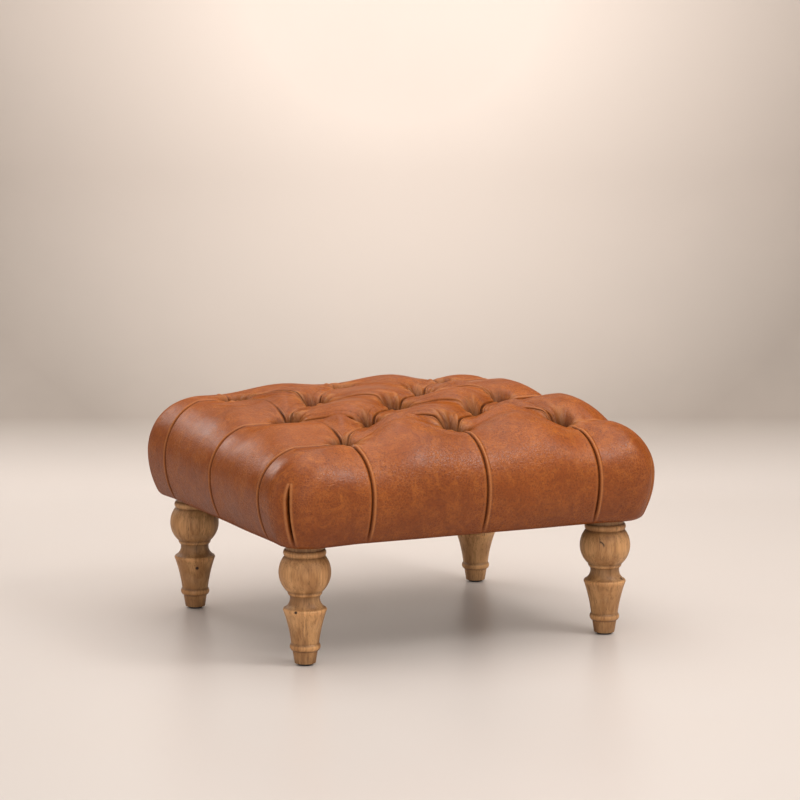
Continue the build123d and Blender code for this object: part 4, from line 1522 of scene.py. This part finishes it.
wood_finishes = {
    "plywood": ((0.56, 0.38, 0.21, 1), (0.46, 0.29, 0.15, 1), (0.34, 0.20, 0.10, 1), along_x),
    "frame_wood": ((0.50, 0.32, 0.17, 1), (0.41, 0.25, 0.12, 1), (0.28, 0.16, 0.07, 1), along_x),
    "dowel_wood": ((0.60, 0.44, 0.27, 1), (0.52, 0.36, 0.20, 1), (0.40, 0.26, 0.14, 1)),
}
materials = {"oak": oak, "button_leather": button_leather,
             "leather": leather_material("hide_of_construction", False)}
for slot, finish in plain_finishes.items():
    materials[slot] = plain_material(*finish)
for slot, finish in wood_finishes.items():
    materials[slot] = wood_material(slot, *finish)
wadding.data.materials.append(materials["wadding"])
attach(wadding, "root")
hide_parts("wadding")
print(len(materials), "materials for the construction")


# %% [markdown]
# ## Which piece wears what
#
# The construction names its pieces as an upholsterer would, so the name says what a piece is made of. A
# table of all forty-four names would be longer, and would miss a piece if one were added. Only the
# materials change: no piece of the construction is moved or reshaped.


# %% Which material each construction piece wears
def family(name):
    """Material of a construction piece, by its name."""
    if name.startswith("button_row"):
        return "button_leather"
    if name.startswith("leg_"):
        return "oak"
    if name.startswith("glide_") and name != "glide_nails":
        return "nylon"
    if name.endswith("_rail") or name.startswith("corner_block_") and name != "corner_block_screws":
        return "frame_wood"
    single = {"leather_cover": "leather", "wadding": "wadding", "foam_pad": "foam",
              "plywood_deck": "plywood", "rail_dowels": "dowel_wood", "button_twines": "twine",
              "dust_cover": "cambric"}
    return single.get(name, "steel")


for name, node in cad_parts.items():
    node.data.materials.clear()
    node.data.materials.append(materials[family(name)])
print(len(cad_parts), "construction pieces have their materials")


# %% [markdown]
# ## Where the camera looks from
#
# The camera's place was found from the outlines of the four legs. It stands a little left of the front and
# looks slightly down, through a long lens, so that the seat keeps its proportions. The backdrop is built
# square to it.


# %% Camera directions
view_azimuth = math.radians(-25.01)
view_drop = math.radians(8.16)
view_distance = 4.506
view_lens = 138.35
sensor_width = 36
view_target = Vector((0.00576, -0.00269, 0.32888))
forward = np.array([-math.sin(view_azimuth), math.cos(view_azimuth)])
rightward = np.array([forward[1], -forward[0]])
print("the camera stands", view_distance, "m from the seat")


# %% [markdown]
# ## The studio
#
# The stool stands on a pale sheet that runs back and curves up behind it, so that no hard corner cuts
# through the picture. The sheet has a painted pool of light behind the seat and painted shade towards the
# sides. Two planes would be simpler, but would show the line where they meet.


# %% Floor and backdrop
floor_near = -7.0
floor_far = 1.05
sweep_radius = 0.55
wall_height = 4.2
sheet_half_width = 6.0
painted_glow_height = 0.95
painted_glow_reach = (0.30, 1.05)
bend_fade = 0.10
painted_glow_tone = (0.86, 0.78, 0.72, 1)
shaded_wall_tone = (0.33, 0.290, 0.258, 1)
floor_tone = (0.68, 0.635, 0.605, 1)
cloud_tone = (0.70, 0.60, 0.53, 1)


def studio_sheet():
    """One sheet for the floor and the wall, with a round bend between them."""
    turns = np.linspace(0, math.pi / 2, 25)
    bend = floor_far + sweep_radius * np.sin(turns)
    depth = np.concatenate([[floor_near, -1.0, 0.0], bend, [floor_far + sweep_radius]])
    height = np.concatenate([[0, 0, 0], sweep_radius * (1 - np.cos(turns)), [wall_height]])
    sheet, faces = [], []
    for side in (-sheet_half_width, sheet_half_width):
        plan = depth[:, None] * forward + side * rightward
        sheet.append(np.column_stack([plan, height]))
    count = len(depth)
    for n in range(count - 1):
        faces.append((n, count + n, count + n + 1, n + 1))
    return add_mesh("studio_sheet", np.concatenate(sheet), faces)


def sheet_material():
    """Warm white with a painted pool of light behind the seat and painted shade towards the sides."""
    made, tree, shader, place = new_material("studio_paper")
    centre = (*(forward * (floor_far + sweep_radius)), painted_glow_height)
    away = add(tree, "ShaderNodeVectorMath", {0: place, 1: centre}, operation="DISTANCE").outputs["Value"]
    cloud = noise(tree, place, 5.0, 3.0)
    # Painted light: a glow behind the seat that fades to painted shade at the sides.
    tone = blend(tree, between(tree, away, *painted_glow_reach), painted_glow_tone, shaded_wall_tone)
    floor_share = between(tree, add(tree, "ShaderNodeSeparateXYZ", {0: place}).outputs[2], bend_fade, 0.0)
    tone = blend(tree, floor_share, tone, floor_tone)
    tone = blend(tree, between(tree, cloud, 0.4, 0.7, 0.0, 0.06), tone, cloud_tone)
    plug(tree, shader, Base_Color=tone, Specular_IOR_Level=0.30,
         Roughness=between(tree, floor_share, 0, 1, 0.70, 0.33))
    return made


sheet = studio_sheet()
sheet.data.materials.append(sheet_material())
print("the sheet is", 2 * sheet_half_width, "m wide")


# %% [markdown]
# ## The camera
#
# The camera is set from its directions and distance, not by hand, so that it can be checked. Depth of
# field stays off, because every part of the stool is looked at.


# %% Camera
back = Vector((math.sin(view_azimuth) * math.cos(view_drop), -math.cos(view_azimuth) * math.cos(view_drop),
               math.sin(view_drop)))
camera = bpy.data.objects.new("camera", bpy.data.cameras.new("camera"))
camera.data.lens = view_lens
camera.data.sensor_width = sensor_width
camera.location = view_target + back * view_distance
camera.rotation_euler = (-back).to_track_quat("-Z", "Y").to_euler()
bpy.context.scene.collection.objects.link(camera)
bpy.context.scene.camera = camera
print("camera at", [round(value, 3) for value in camera.location])


# %% [markdown]
# ## Light
#
# Leather shows its folds by its highlights, so the light is soft and comes from several sides: a wide box
# overhead and one in front, a low one that opens the shadows under the seat, and small ones that draw the
# highlights on the shoulders and the far edge. One bare lamp would make hard glints and black wells.


# %% Lights
def soft_light(name, place, target, size, power, colour):
    """A square softbox that looks at a point."""
    lamp = bpy.data.lights.new(name, "AREA")
    lamp.size = size
    lamp.energy = power
    lamp.color = colour
    light = bpy.data.objects.new(name, lamp)
    light.location = place
    light.rotation_euler = (Vector(target) - Vector(place)).to_track_quat("-Z", "Y").to_euler()
    bpy.context.scene.collection.objects.link(light)


lamps = [
    ("overhead", (0.30, -0.10, 2.3), (0, 0, 0.2), 2.4, 28, (1.0, 0.95, 0.90)),
    ("front", (-0.3, -3.7, 2.6), (0, 0, 0.3), 2.4, 13, (1.0, 0.95, 0.91)),
    ("shoulders", (1.05, -1.5, 2.0), (0, 0, 0.3), 0.7, 17, (1.0, 0.96, 0.92)),
    ("back", (0.15, 1.10, 1.9), (0, 0, 0.3), 0.9, 4, (1.0, 0.97, 0.94)),
    ("back left", (-0.62, 1.9, 1.05), (-0.25, 0, 0.3), 0.6, 7, (1.0, 0.97, 0.94)),
    ("low fill", (-1.5, -3.3, 0.7), (0, 0, 0.05), 2.2, 14, (1.0, 0.95, 0.91)),
]
for lamp in lamps:
    soft_light(*lamp)
world = bpy.data.worlds.new("studio")
world.use_nodes = True
air = world.node_tree.nodes["Background"]
air.inputs["Color"].default_value = (1.0, 0.93, 0.87, 1)
air.inputs["Strength"].default_value = 0.76
bpy.context.scene.world = world
bpy.context.scene.view_settings.view_transform = "Standard"
print(len(lamps), "lamps")
